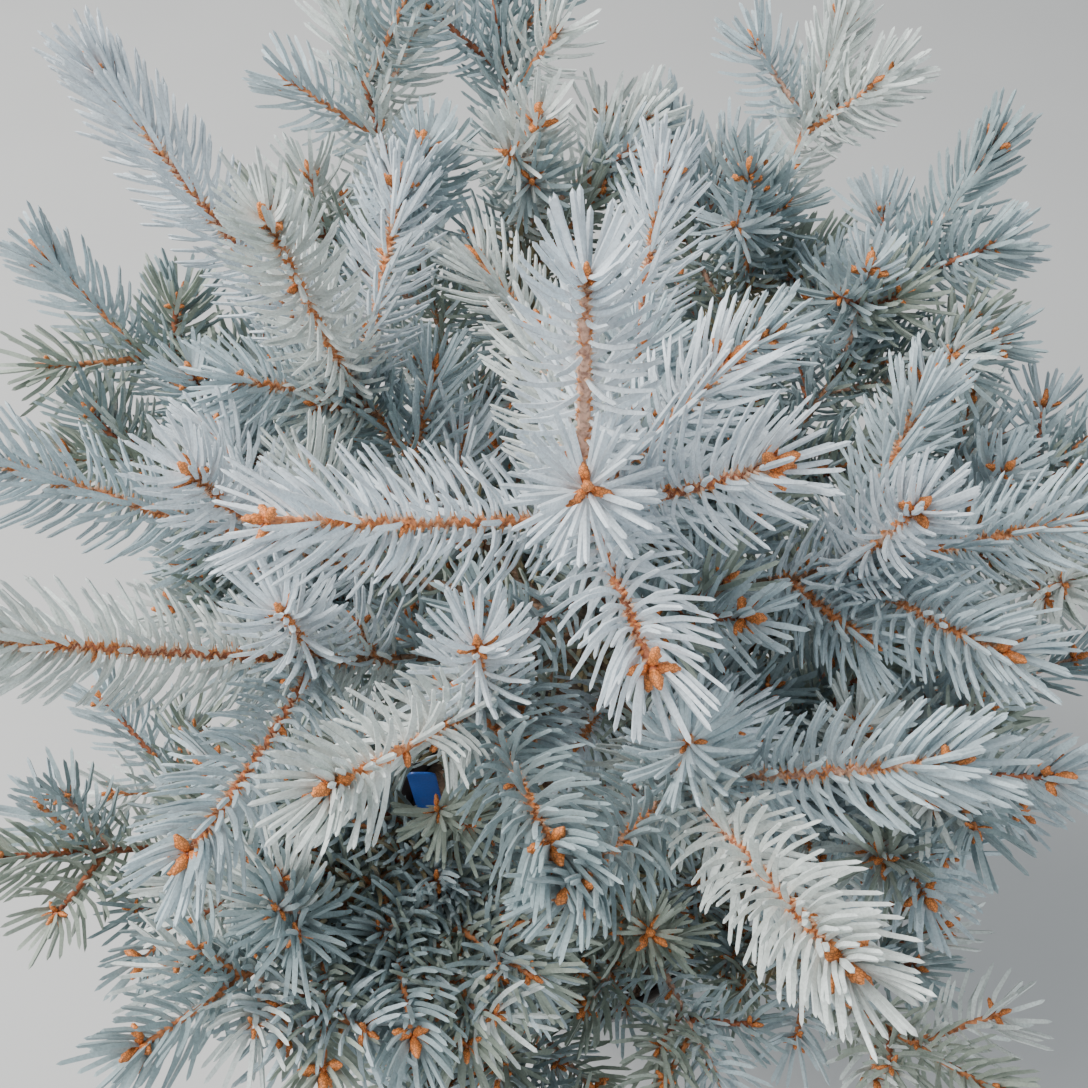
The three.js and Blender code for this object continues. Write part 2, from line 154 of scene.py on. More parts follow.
# Finer growth than the solids have
TWIG_RING_PITCH = 2.8
FEWEST_RINGS = 4
SHOOT_SWEEP = 0.14
FINE_SEED = 500
FINE_PITCH = 21
FINE_LENGTH = 42
FINE_SPREAD = 0.9
MIDWAY_WHORLS = ("middle", "lower", "inner")
MIDWAY_LEAST = 40
MIDWAY_SHARE = 0.66
MIDWAY_LONGEST = 82
MIDWAY_FROM = 0.35
MIDWAY_SPAN = 0.3
MIDWAY_ROLLS = (0, 180, 30)
FINE_ROLL = 8
FINE_ROLL_SPREAD = 60
FINE_SHORTEST = 12
FINE_CLEAR = 11
WOOD_BARE_SHARE = 0.2
NEW_STEM_RADIUS = 1.3
YEARLY_THICKENING = 0.36
WOOD_AGE = 3

# Needles on the trunk itself: from and to a height above the soil, and their age. The last stretch is
# the leader, whose stem ends a little below its solid's tip
LEADER_TIP = 551
TRUNK_NEEDLE_SPANS = [(300, 352, 2), (352, 440, 1), (LEADER_FOOT - 4, LEADER_TIP, 0)]

# The opening in the foliage through which the label shows from above
GLIMPSE_FOOT = (-88, 22, 236)
GLIMPSE_WAY = (77, -237, 715)
GLIMPSE_RADIUS = 10
GLIMPSE_TESTS = (0.4, 0.7, 1)

# Needles stand on a golden spiral, crowd towards the tip, and lean forward there. A needle's form is its
# number of sides, and its width at shares of its length
GOLDEN_TURN = math.radians(137.508)
TURN_SCATTER = 0.2
ANGLE_SCATTER = 5
LENGTH_SCATTER = 0.07
FEWEST_NEEDLES = 3
FOOT_NEEDLE_LENGTH = 0.78
FOOT_SPAN = 0.18
TIP_CROWDING = 1.3
NEEDLE_ANGLE = 87
NEEDLE_TIP_ANGLE = 47
NEEDLE_TIP_START = 0.5
NEEDLE_LIFT = 0.2
NEEDLE_BEND_FORWARD = 0.42
NEEDLE_BEND_UP = 0.06
NEEDLE_SUNK = 0.7
NEEDLE_FLATNESS = 0.92
WHORL_LENGTH = {"crown": 1.1, "upper": 1.02, "middle": 0.97, "lower": 1, "inner": 0.95}
AGE_DENSITY = [1, 0.75, 0.5, 0.3]
WHORL_DENSITY = {"crown": 1.05, "upper": 1.15, "middle": 0.88, "lower": 0.62, "inner": 0.7}
AGE_LENGTH = [1, 0.92, 0.85, 0.75]
FINE_FORM = (4, [(0, 0.52), (0.25, 0.95), (0.6, 1), (0.95, 0.78)])
MIDDLE_FORM = (3, [(0, 0.65), (0.3, 1.1), (0.65, 1.16), (0.95, 0.9)])
COARSE_FORM = (3, [(0, 0.75), (0.5, 1.2), (0.93, 0.95)])
NEEDLE_FORMS = {
    "crown": FINE_FORM,
    "upper": FINE_FORM,
    "middle": MIDDLE_FORM,
    "lower": COARSE_FORM,
    "inner": COARSE_FORM,
}
TIP_SHORTENING = 0.2
TIP_SHORT_FROM = 0.75

# Where needles are left off: on top of a shoot's tip, round a crown shoot's tip, and along one side of the
# leader, where only a few are kept
TIP_TOP_BARE = 0.88
TIP_TOP_SIDE = 0.35
CROWN_TIP_BARE = 0.95
LEADER_PARTING = (0, -1, 0)
LEADER_PARTED_FROM = 0.62
LEADER_PARTED_TO = 0.84
LEADER_PARTED_KEPT = 0.2

# The pegs that needles stand on
PEG_LENGTH = 5.2
PEG_RADIUS = 1.4

# Tones are dealt by chance. A draw from 0 to 1, shifted by the whorl's painted shading, picks the first tone
# whose limit it stays under, in the row for the sprig's age
TONE_SEED = 227036
LAST_DRAW = 0.999
TONES = ["silver", "cream", "frost", "blue", "green", "straw"]
AGE_TONES = [
    [0.17, 0.45, 0.76, 0.95, 1, 1],
    [0.04, 0.12, 0.3, 0.85, 0.96, 1],
    [0, 0, 0.05, 0.45, 0.85, 1],
    [0, 0, 0, 0.15, 0.7, 1],
]
# Painted light and shade: the crown and upper whorl shift to paler tones as if lit from above, and the
# middle, lower and inner whorls shift to darker ones where shade falls on them. Partly real: shaded inner
# growth is also greener
PAINTED_WHORL_SHADING = {"crown": -0.5, "upper": -0.2, "middle": 0.18, "lower": 0.34, "inner": 0.42}

# The stems' tones, and the same limits for a draw on new shoots
STEM_TONES = ["pale", "new", "red", "old"]
NEW_STEM_TONES = [0.22, 0.68, 1]

# Buds: the profile's shares of length and radius, and how a cluster spreads
BUD_PROFILE = [(0, 0.5), (0.22, 0.9), (0.5, 1), (0.78, 0.72), (0.94, 0.36)]
BUD_SIDES = 6
BUD_SCALES = 0.14
BUD_SPREAD = 0.3
BUD_OUT = 0.8
SMALL_BUD_PROFILE = [(0, 0.6), (0.45, 1), (0.85, 0.5)]
SMALL_BUD_SIDES = 5
SMALL_BUD_SHARE = 0.72
SIDE_BUDS = 4
SIDE_BUD_ANGLE = 74
SIDE_BUD_SPREAD = 0.4
SIDE_BUD_SHARE = 0.98
SIDE_BUD_BACK = 1.8
FEWER_SIDE_BUDS = 0.35
SMALL_SHOOT = 55
STEM_BUD_PITCH = 45
STEM_BUD_FROM = 0.3
STEM_BUD_PLAY = 0.6
STEM_BUD_CLEAR = 0.4
STEM_BUD_LEAN = 0.6
STEM_BUD_LENGTH = 0.7
STEM_BUD_RADIUS = 0.8

# Twigs: every second ring swells. Whorls that show from near by get pegs, and the others fewer rings
TWIG_SIDES = 6
TWIG_SWELL = 0.16
FAR_RING_STEP = 2
WHORL_NAMES = [whorl.name for whorl in WHORLS] + ["inner"]
PEGGED = ("crown", "upper")

# Bark. A layer of noise is its height, its patterns for each millimetre and its seed
BARK_RING_PITCH = 3.5
FLARE_RING_PITCH = 2.0
FLARE_RINGS_TO = 40
TRUNK_SIDES = 30
TRUNK_LOBES = 5
LOBE_TURN = 0.6
LOBE_DEPTH = 0.1
LOBE_SUNK = 0.4
LOBES_TO = 26
LEAST_RELIEF = 0.15
TRUNK_GRAIN_STRETCH = (1, 1, 0.4)
TRUNK_RIDGES = [(1, 0.28, 0), (0.6, 0.8, 9)]
LEADER_RINGS = 44
LEADER_SIDES = 8
LEADER_SWELL = 0.1
LEADER_SUNK = 6
BOUGH_RING_PITCH = 2.6
BOUGH_SIDES = 12
BOUGH_RELIEF = 0.5
BOUGH_GRAIN_STRETCH = 0.35
BOUGH_RIDGES = [(1, 0.42, 0), (0.6, 1.1, 7)]
BOUGH_SEED_SPAN = 50
COLLAR_SWELL = 0.25
COLLAR_RINGS = 2.5

# The pot's finer forms. A ring's section is in shares of half its width and of its depth
POT_SEGMENTS = 144
UNDERSIDE_RISE = 1.5
STAND_WIDTH = 11
STAND_SLOPE = 3
FOOT_ROUND = 2.5
RING_HEIGHTS = (22, 92, 150)
RING_DEPTH = 0.7
RING_WIDTH = 6
RING_SECTION = [(0, 1), (0.5, 0.8), (1, 0), (1.4, 0)]
BAND_START = 1
BAND_LEDGE = 0.6
BAND_ROUND = 2
LIP_SHARE = 0.9
RIM_INSIDE = 4
FLOOR_ROUND = 3
SLOT_ROUND = 1.2
SHARP_ANGLE = 35
MERGE_DISTANCE = 0.001

# The soil's crumbs, its fall from the trunk to the wall, and the chips that lie on it
SOIL_RINGS = 64
SOIL_SEGMENTS = 180
SOIL_CRUMBS = [(1.1, 0.05, 3), (1.0, 0.16, 11), (0.8, 0.45, 23)]
SOIL_MIDDLE_RISE = 1
SOIL_FALL = 3
SOIL_FALL_FROM = 60
SOIL_FALL_TO = 106
CHIP_COUNT = 900
CHIP_SPREAD = (0.03, 0.94)
CHIP_SIZES = (1.0, 4.2)
CHIP_SHAPE = (1, 0.62, 0.32)
CHIP_VARIETY = (0.75, 1.25)
CHIP_SHADE = 2.4
CHIP_TILT = 0.35
CHIP_LIFT = 0.3
CHIP_CORNERS = [[1, 0.1, 0], [0.2, 1, 0.2], [-1, 0, 0.1], [-0.1, -1, -0.1], [0, 0, 1], [0.1, 0, -1]]

# The label. Corner and point are shares of its half width and its height, lift and edge are in metres
LABEL_CORNER = 0.55
LABEL_POINT = 1 / 6
LABEL_LIFT = 0.0004
LABEL_EDGE = 0.0003
LABEL_SHADE = 1.7
LABEL_EDGE_ANGLE = 60

# Colours in the finishes that the panel doesn't set
WHITE = (1, 1, 1)
LICHEN = (0.3, 0.25, 0.2)

# The stage, in metres, but the camera's sensor in millimetres
FLOOR_HALF = 6
SKY_COLOUR = (0.84, 0.92, 1)
LIGHT_AIM = (0, 0, 0.45)
KEY_PLACE = (-1.3, 0.3, 2.0)
KEY_SIZE = 1.5
KEY_COLOUR = (1, 0.985, 0.96)
FILL_PLACE = (1.6, -1.4, 1.6)
FILL_SIZE = 1.6
FILL_SHARE = 0.3
FILL_COLOUR = (0.94, 0.98, 1)
CAMERA_PLACE = (-0.0110, -0.2154, 0.9512)
CAMERA_TILT = 30
FIELD_OF_VIEW = 50
SENSOR_WIDTH = 36
CLIP_START = 0.01

Limb = namedtuple("Limb", "whorl foliage bough root turn rise reach radius wood years seed")
Sprig = namedtuple("Sprig", "line radii age whorl own tip solid")
Needles = namedtuple("Needles", "base way bend forward size")
Spray = namedtuple("Spray", "sprig needles tone stem")
Shape = namedtuple("Shape", "points quads triangles")


class Chance:
    """A repeatable stream of numbers from 0 to 1, the same one as the solids use."""

    def __init__(self, seed):
        self.state = seed

    def __call__(self):
        self.state = (self.state * 1664525 + 1013904223) % 2**32
        return self.state / 2**32


def unit(vectors):
    return vectors / np.linalg.norm(vectors, axis=-1, keepdims=True)


def square_to(forward, alike=False):
    """Two ways square to each direction, from Z, or from Y for a steep one. With alike, all use the same."""
    steep = abs(forward[..., 2:]) > STEEP
    if alike:
        steep = steep.any()
    side = unit(np.cross(forward, np.where(steep, [0.0, 1.0, 0.0], UP)))
    return side, np.cross(side, forward)


def smooth_step(value, low, high):
    share = np.clip((value - low) / (high - low), 0, 1)
    return share * share * (3 - 2 * share)


# Growth


def trunk_centre(above):
    above = np.asarray(above, float)
    share = np.maximum(above - FLARE_HEIGHT, 0) / (TRUNK_LENGTH - FLARE_HEIGHT)
    bow = TRUNK_BOW * np.sin(np.pi * share) ** 2
    return np.stack([bow, TRUNK_LEAN * share, SOIL_TOP + JOINT_GAP + above], axis=-1)


def trunk_radius(above):
    return np.interp(above, TRUNK_PROFILE[:, 0], TRUNK_PROFILE[:, 1])


def limb_point(limb, share):
    """Points on a limb's centre line, from 0 in the middle of the trunk to 1 at its tip."""
    share = np.asarray(share, float)
    out = limb.reach * math.cos(limb.rise) * share
    lift = limb.reach * math.sin(limb.rise) * (share + SWEEP * (share * share - share))
    way = np.stack([math.cos(limb.turn) * out, math.sin(limb.turn) * out, lift], axis=-1)
    return limb.root + way


def all_limbs():
    """The limbs in the order of the solids, which also gives each its seed."""
    limbs = []

    def add(whorl, number, above, turn, rise, reach, radius, wood, years):
        foliage = f"{whorl}_foliage_{number}"
        bough = f"{whorl}_bough_{number}"
        root = trunk_centre(above)
        way = (math.radians(turn), math.radians(rise), reach)
        limbs.append(Limb(whorl, foliage, bough, root, *way, radius, wood, years, SEED + len(limbs)))

    for whorl in WHORLS:
        for i, bough in enumerate(whorl.boughs):
            above = whorl.height + whorl.stagger * ((i * GOLDEN_SHARE) % 1 - 0.5)
            add(whorl.name, i + 1, above, *bough, whorl.radius, whorl.wood, whorl.years)
    for i, (above, turn, rise, reach, years) in enumerate(INNER_SHOOTS):
        add("inner", i + 1, above, turn, rise, reach, INNER_RADIUS, 0, years)
    return limbs


def distances(point, lines):
    """The distance from a point to each of several lines of as many points each."""
    start = lines[:, :-1]
    step = np.diff(lines, axis=1)
    along = ((point - start) * step).sum(-1) / (step * step).sum(-1)
    nearest = start + np.clip(along, 0, 1)[..., None] * step
    return np.linalg.norm(nearest - point, axis=-1).min(axis=-1)


class Room:
    """The space that each mass keeps to: nearer to its own spine than to any other, clear of limbs."""

    def __init__(self, limbs):
        shares = np.linspace(0, 1, LINE_STEPS + 1)
        spines = [limb_point(limb, limb.wood + (1 - limb.wood) * shares) for limb in limbs]
        foot, tip = trunk_centre([LEADER_FOOT, TRUNK_LENGTH])
        spines.append(foot + (tip - foot) * shares[:, None])
        boughs = [limb for limb in limbs if limb.wood > 0]
        self.spines = np.array(spines)
        self.limb_lines = np.array([limb_point(limb, limb.wood * shares) for limb in boughs])
        self.limb_radii = np.array([limb.radius for limb in boughs])

    def is_free(self, point, own):
        if point[2] <= POT_HEIGHT:
            return False
        near = distances(point, self.spines)
        if (np.delete(near, own) <= near[own] + 2 * SPACE_MARGIN).any():
            return False
        above = np.clip(point[2] - SOIL_TOP, 0, TRUNK_LENGTH)
        if np.linalg.norm(point - trunk_centre(above)) < trunk_radius(above) + LIMB_MARGIN:
            return False
        return bool((distances(point, self.limb_lines) > self.limb_radii + LIMB_MARGIN).all())

    def free_reach(self, start, way, length, own, clear=0):
        """How far a straight shoot can grow. Its first stretch, up to `clear`, isn't tested."""
        free = 0
        for i in range(1, REACH_STEPS + 1):
            reach = length * i / REACH_STEPS
            if reach > clear and not self.is_free(start + way * reach, own):
                break
            free = reach
        return free


def side_way(forward, roll, opening):
    """The way of a side shoot: rolled about its bough, opened from it, and lifted a little."""
    side = unit(np.cross(forward, UP))
    top = np.cross(side, forward)
    away = side * math.cos(roll) + top * math.sin(roll)
    return unit(forward * math.cos(opening) + away * math.sin(opening) + UP * SIDE_LIFT)


def side_shoots(limb, own, room):
    """The side shoots that the limb's solid has, as (start, way, length, years)."""
    chance = Chance(limb.seed)
    shoots = []

    def grow(start, forward, length, years):
        for roll, share, branches in SIDE_SHOOTS:
            size = length * share * (1 + SIZE_SPREAD * (chance() - 0.5))
            turned = math.radians(roll + ROLL_SPREAD * (chance() - 0.5))
            opening = math.radians(SIDE_ANGLE + ANGLE_SPREAD * (chance() - 0.5))
            way = side_way(forward, turned, opening)
            reach = room.free_reach(start, way, size, own)
            if reach < SHORTEST_SHOOT:
                continue
            grown = years if branches else 1
            shoots.append((start, way, reach, grown))
            if branches and years > 1:
                grow(start + way * reach / years, way, reach * (1 - 1 / years), years - 1)

    for year in range(1, limb.years):
        share = max(year / limb.years, limb.wood + FIRST_NODE_CLEAR)
        here = limb_point(limb, share)
        ahead = unit(limb_point(limb, share + LIMB_STEP) - here)
        grow(here, ahead, limb.reach * (1 - share), limb.years - year)
    return shoots


def stem_radius(age):
    return NEW_STEM_RADIUS + YEARLY_THICKENING * age


def years_growth(point_at, length, first, years, whorl, own):
    """A shoot as one sprig for each year's growth. point_at gives points for shares of its length."""
    sprigs = []
    for year in range(years):
        low = max(year / years, first)
        high = (year + 1) / years
        if high - low < LIMB_STEP:
            continue
        steps = max(FEWEST_RINGS, round(length * (high - low) / TWIG_RING_PITCH))
        line = point_at(np.linspace(low, high, steps + 1))
        age = years - 1 - year
        radii = (stem_radius(age + 1), stem_radius(age))
        sprigs.append(Sprig(line, radii, age, whorl, own, age == 0, True))
    return sprigs


def straight_shoot(start, way, length):
    """A side shoot's line: it leaves flatter than its straight way, and ends where that does."""

    def point_at(share):
        share = np.asarray(share)[..., None]
        return start + way * length * share + UP * length * SHOOT_SWEEP * (share * share - share)

    return point_at


def shuts_glimpse(points):
    """Whether points stand in the opening over the label."""
    way = unit(np.array(GLIMPSE_WAY, float))
    above = np.asarray(points) - GLIMPSE_FOOT
    return np.linalg.norm(above - (above @ way)[..., None] * way, axis=-1) < GLIMPSE_RADIUS


def side_sprig(sprig, share, roll, size, chance, room):
    """A short shoot at a share of a sprig's length. Roll and size are each a value and its spread."""
    starts, ways = points_along(sprig.line, [share])
    turned = math.radians(roll[0] + roll[1] * (chance() - 0.5))
    opening = math.radians(SIDE_ANGLE + ANGLE_SPREAD * (chance() - 0.5))
    length = size[0] * (1 + size[1] * (chance() - 0.5))
    way = side_way(ways[0], turned, opening)
    reach = room.free_reach(starts[0], way, length, sprig.own, FINE_CLEAR)
    if reach < FINE_SHORTEST:
        return []
    grown = years_growth(straight_shoot(starts[0], way, reach), reach, 0, 1, sprig.whorl, sprig.own)
    return [one for one in grown if not shuts_glimpse(one.line).any()]


def finer_sprigs(sprig, chance, room):
    """Short shoots on a stretch of older stem, on one side and the other in turn."""
    count = int(line_length(sprig.line) / FINE_PITCH)
    found = []
    for i in range(count):
        roll = (180 * (i % 2) + FINE_ROLL, FINE_ROLL_SPREAD)
        size = (FINE_LENGTH, FINE_SPREAD)
        found += side_sprig(sprig, (i + chance()) / count, roll, size, chance, room)
    return found


def midway_sprigs(sprig, rest, chance, room):
    """Side shoots halfway along a long year's growth. rest is what grows on beyond its middle."""
    found = []
    if sprig.whorl not in MIDWAY_WHORLS or line_length(sprig.line) < MIDWAY_LEAST:
        return found
    size = (min(MIDWAY_LONGEST, rest * MIDWAY_SHARE), SIZE_SPREAD)
    for roll in MIDWAY_ROLLS:
        share = MIDWAY_FROM + MIDWAY_SPAN * chance()
        found += side_sprig(sprig, share, (roll, ROLL_SPREAD), size, chance, room)
    return found


def line_length(line):
    return np.linalg.norm(np.diff(line, axis=0), axis=1).sum()


def points_along(line, shares):
    """Points and directions at shares of a line's length."""
    steps = np.linalg.norm(np.diff(line, axis=0), axis=1)
    reached = np.concatenate([[0], np.cumsum(steps)])
    at = np.asarray(shares) * reached[-1]
    places = np.stack([np.interp(at, reached, line[:, k]) for k in range(3)], axis=-1)
    segment = np.clip(np.searchsorted(reached, at, side="right") - 1, 0, len(steps) - 1)
    return places, unit(line[segment + 1] - line[segment])


@functools.lru_cache(maxsize=1)
def plant():
    """The limbs, and every sprig of the plant."""
    limbs = all_limbs()
    room = Room(limbs)
    sprigs = []
    for own, limb in enumerate(limbs):
        stems = []
        spine = functools.partial(limb_point, limb)
        foot = limb.wood
        if limb.wood == 0:
            foot = trunk_radius(limb.root[2] - SOIL_TOP) / limb.reach
        stems.append(years_growth(spine, limb.reach, foot, limb.years, limb.whorl, own))
        for start, way, length, years in side_shoots(limb, own, room):
            point_at = straight_shoot(start, way, length)
            stems.append(years_growth(point_at, length, 0, years, limb.whorl, own))
        if limb.wood > 0:
            steps = round(limb.reach * limb.wood / TWIG_RING_PITCH)
            line = spine(np.linspace(WOOD_BARE_SHARE * limb.wood, limb.wood, steps + 1))
            radii = (limb.radius, STEM_RADIUS)
            stems.append([Sprig(line, radii, WOOD_AGE, limb.whorl, own, False, False)])
        chance = Chance(limb.seed + FINE_SEED)
        for stem in stems:
            sprigs += stem
            lengths = [line_length(sprig.line) for sprig in stem]
            for i, sprig in enumerate(stem):
                sprigs += midway_sprigs(sprig, sum(lengths[i:]) - lengths[i] / 2, chance, room)
                if sprig.age > 0:
                    sprigs += finer_sprigs(sprig, chance, room)
    leader = len(limbs)
    for low, high, age in TRUNK_NEEDLE_SPANS:
        heights = np.linspace(low, high, max(FEWEST_RINGS, round((high - low) / TWIG_RING_PITCH)))
        radii = (trunk_radius(low), trunk_radius(high))
        whorl = "inner" if age else "crown"
        sprigs.append(Sprig(trunk_centre(heights), radii, age, whorl, leader, age == 0, False))
    return limbs, sprigs


# Shapes


def joined(shapes):
    """Several shapes as one, with their faces renumbered."""
    starts = np.cumsum([0] + [len(shape.points) for shape in shapes])
    return Shape(
        np.concatenate([shape.points for shape in shapes]),
        np.concatenate([shape.quads + start for shape, start in zip(shapes, starts)]),
        np.concatenate([shape.triangles + start for shape, start in zip(shapes, starts)]),
    )


def repeated(points, quads, triangles):
    """One small shape repeated: points is (copies, points, 3), and the faces are those of one copy."""
    copies, size = points.shape[:2]
    starts = (np.arange(copies) * size)[:, None, None]
    return Shape(
        points.reshape(-1, 3),
        (starts + quads).reshape(-1, 4),
        (starts + triangles).reshape(-1, 3),
    )


def ring_faces(rings, sides):
    """Faces of a closed body of rings, with a point in the middle of its first ring, then of its last."""
    row = np.arange(sides)
    after = (row + 1) % sides
    low = (np.arange(rings - 1) * sides)[:, None]
    quads = np.stack([low + row, low + after, low + sides + after, low + sides + row], axis=-1)
    last = (rings - 1) * sides
    foot = np.stack([after, row, np.full(sides, rings * sides)], axis=-1)
    tip = np.stack([last + row, last + after, np.full(sides, rings * sides + 1)], axis=-1)
    return quads.reshape(-1, 4), np.concatenate([foot, tip])


def tube(line, radii, sides, twist=0.0):
    """A closed tube along a line. radii has one value for each ring, or one for each point of a ring."""
    rings = len(line)
    tangent = unit(np.gradient(line, axis=0))
    side, top = square_to(tangent, alike=True)
    angles = np.arange(sides) * 2 * np.pi / sides + np.arange(rings)[:, None] * twist
    spread = np.asarray(radii, float)
    if spread.ndim == 1:
        spread = spread[:, None]
    spread = (spread * np.ones((rings, sides)))[..., None]
    ways = np.cos(angles)[..., None] * side[:, None] + np.sin(angles)[..., None] * top[:, None]
    skin = (line[:, None] + spread * ways).reshape(-1, 3)
    return Shape(np.concatenate([skin, line[:1], line[-1:]]), *ring_faces(rings, sides))


def add_piece(name, shape, material, replaced=(), smooth=True):
    """A mesh in metres from a shape in millimetres. It rides on the frame and stands for CAD nodes."""
    faces = len(shape.quads) + len(shape.triangles)
    if not faces:
        raise RuntimeError(f"{name} has no faces")
    corners = np.concatenate([shape.quads.ravel(), shape.triangles.ravel()]).astype(np.int32)
    totals = np.concatenate([np.full(len(shape.quads), 4), np.full(len(shape.triangles), 3)])
    starts = np.concatenate([[0], np.cumsum(totals)[:-1]]).astype(np.int32)
    mesh = bpy.data.meshes.new(name)
    mesh.vertices.add(len(shape.points))
    mesh.loops.add(len(corners))
    mesh.polygons.add(faces)
    mesh.vertices.foreach_set("co", (shape.points * MM).astype(np.float32).ravel())
    mesh.loops.foreach_set("vertex_index", corners)
    mesh.polygons.foreach_set("loop_start", starts)
    mesh.polygons.foreach_set("use_smooth", np.full(faces, smooth))
    mesh.update(calc_edges=True)
    place_piece(mesh, material, replaced)


def place_piece(mesh, material, replaced):
    piece = bpy.data.objects.new(mesh.name, mesh)
    bpy.context.scene.collection.objects.link(piece)
    mesh.materials.append(material)
    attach(piece, "root")
    if replaced:
        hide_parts(*replaced)


# Materials


class Finish:
    """A material with a few short ways to lay patterns on it, all in the piece's own space."""

    def __init__(self, name, roughness=0.6):
        self.material = bpy.data.materials.new(name)
        self.material.use_nodes = True
        self.node = self.material.node_tree.nodes.new
        self.link = self.material.node_tree.links.new
        self.shader = self.material.node_tree.nodes["Principled BSDF"]
        self.shader.inputs["Roughness"].default_value = roughness
        self.place = self.node("ShaderNodeTexCoord")

    def _mapped(self, texture, scale, stretch):
        mapping = self.node("ShaderNodeMapping")
        mapping.inputs["Scale"].default_value = stretch
        self.link(self.place.outputs["Object"], mapping.inputs["Vector"])
        self.link(mapping.outputs["Vector"], texture.inputs["Vector"])
        texture.inputs["Scale"].default_value = scale

    def grain(self, scale, stretch=(1, 1, 1), detail=3.0):
        """Soft noise; scale is in patterns for each metre."""
        texture = self.node("ShaderNodeTexNoise")
        texture.inputs["Detail"].default_value = detail
        self._mapped(texture, scale, stretch)
        return texture.outputs["Fac"]

    def cracks(self, scale, stretch=(1, 1, 1)):
        """Plates with dark gaps between them."""
        texture = self.node("ShaderNodeTexVoronoi")
        texture.feature = "DISTANCE_TO_EDGE"
        self._mapped(texture, scale, stretch)
        return texture.outputs["Distance"]

    def ramp(self, value, stops):
        """Colours at values from 0 to 1."""
        node = self.node("ShaderNodeValToRGB")
        elements = node.color_ramp.elements
        while len(elements) < len(stops):
            elements.new(0.5)
        for element, (position, colour) in zip(elements, stops):
            element.position = position
            element.color = (*colour, 1)
        self.link(value, node.inputs["Fac"])
        return node.outputs["Color"]

    def shades(self, value, colour, *stops):
        """Shades of one colour: each stop is a value and what the colour is multiplied by there."""
        return self.ramp(value, [(position, shade(colour, factor)) for position, factor in stops])

    def blend(self, share, low, high):
        """A mix of two colours by a third value."""
        node = self.node("ShaderNodeMix")
        node.data_type = "RGBA"
        self.link(share, node.inputs["Factor"])
        self.link(low, node.inputs["A"])
        self.link(high, node.inputs["B"])
        return node.outputs["Result"]

    def colour(self, value):
        self.link(value, self.shader.inputs["Base Color"])

    def roughness(self, value, low, high):
        self.link(self.shades(value, WHITE, (0.3, low), (0.7, high)), self.shader.inputs["Roughness"])

    def relief(self, value, strength, depth):
        """Bump, laid over any that is there already."""
        node = self.node("ShaderNodeBump")
        node.inputs["Strength"].default_value = strength
        node.inputs["Distance"].default_value = depth
        self.link(value, node.inputs["Height"])
        normal = self.shader.inputs["Normal"]
        if normal.is_linked:
            self.link(normal.links[0].from_socket, node.inputs["Normal"])
        self.link(node.outputs["Normal"], normal)


def shade(colour, factor):
    return tuple(min(1.0, channel * factor) for channel in colour)


def needle_finish(name, colour):
    """Waxy needles: a pale bloom that is thicker in places, over a slightly darker skin."""
    finish = Finish(name, 0.55)
    bloom = finish.grain(55, detail=1.0)
    worn = finish.grain(900, detail=1.0)
    broad = finish.shades(bloom, colour, (0.32, 0.78), (0.68, 1.12))
    fine = finish.shades(bloom, colour, (0.3, 0.66), (0.7, 0.94))
    patches = finish.shades(worn, WHITE, (0.42, 0), (0.66, 1))
    finish.colour(finish.blend(patches, broad, fine))
    finish.roughness(worn, 0.48, 0.66)
    finish.shader.inputs["Sheen Weight"].default_value = 0.25
    finish.shader.inputs["Sheen Roughness"].default_value = 0.45
    return finish.material


def stem_finish(name, colour):
    """A ridged young stem: warm, with paler ridges and darker grooves."""
    finish = Finish(name, 0.6)
    ridges = finish.grain(420, detail=4.0)
    warm = finish.grain(60, detail=2.0)
    groove = (colour[0] * 0.4, colour[1] * 0.26, colour[2] * 0.24)
    low = finish.ramp(ridges, [(0.36, groove), (0.6, shade(colour, 1.0))])
    high = finish.shades(ridges, colour, (0.32, 0.6), (0.6, 1.45))
    finish.colour(finish.blend(warm, low, high))
    finish.roughness(ridges, 0.5, 0.75)
    finish.relief(ridges, 0.5, 0.0005)
    return finish.material


def peg_finish(name, colour, pale):
    """The pegs under the needles: orange, and pink where they are freshest."""
    finish = Finish(name, 0.55)
    patches = finish.shades(finish.grain(190, detail=2.0), WHITE, (0.44, 0), (0.58, 1))
    fine = finish.grain(800, detail=2.0)
    warm = finish.shades(fine, colour, (0.3, 0.6), (0.65, 1.15))
    fresh = finish.shades(fine, pale, (0.3, 0.75), (0.65, 1.1))
    finish.colour(finish.blend(patches, warm, fresh))
    finish.roughness(fine, 0.45, 0.65)
    finish.relief(fine, 0.3, 0.0003)
    return finish.material


def bark_finish(name, colour, plate_scale):
    """Scaly bark: grey-brown plates with dark cracks and rough faces."""
    finish = Finish(name, 0.85)
    cracks = finish.cracks(plate_scale, (1, 1, 0.45))
    rough = finish.grain(plate_scale * 3, detail=5.0)
    lichen = finish.grain(plate_scale * 0.3)
    plates = finish.shades(cracks, colour, (0.0, 0.25), (0.06, 0.7), (0.3, 1.25))
    greyed = finish.ramp(rough, [(0.35, shade(colour, 0.55)), (0.7, LICHEN)])
    finish.colour(finish.blend(lichen, plates, greyed))
    finish.roughness(rough, 0.75, 0.95)
    finish.relief(cracks, 0.7, 0.002)
    finish.relief(rough, 0.5, 0.0008)
    return finish.material


def bud_finish(name, colour):
    """Papery scales, darker at their feet."""
    finish = Finish(name, 0.5)
    scales = finish.cracks(900)
    grain = finish.grain(500)
    tint = finish.shades(scales, colour, (0.0, 0.35), (0.2, 1.0))
    pale = finish.shades(scales, colour, (0.0, 0.5), (0.2, 1.18))
    finish.colour(finish.blend(grain, tint, pale))
    finish.roughness(grain, 0.4, 0.6)
    finish.relief(scales, 0.6, 0.0005)
    return finish.material


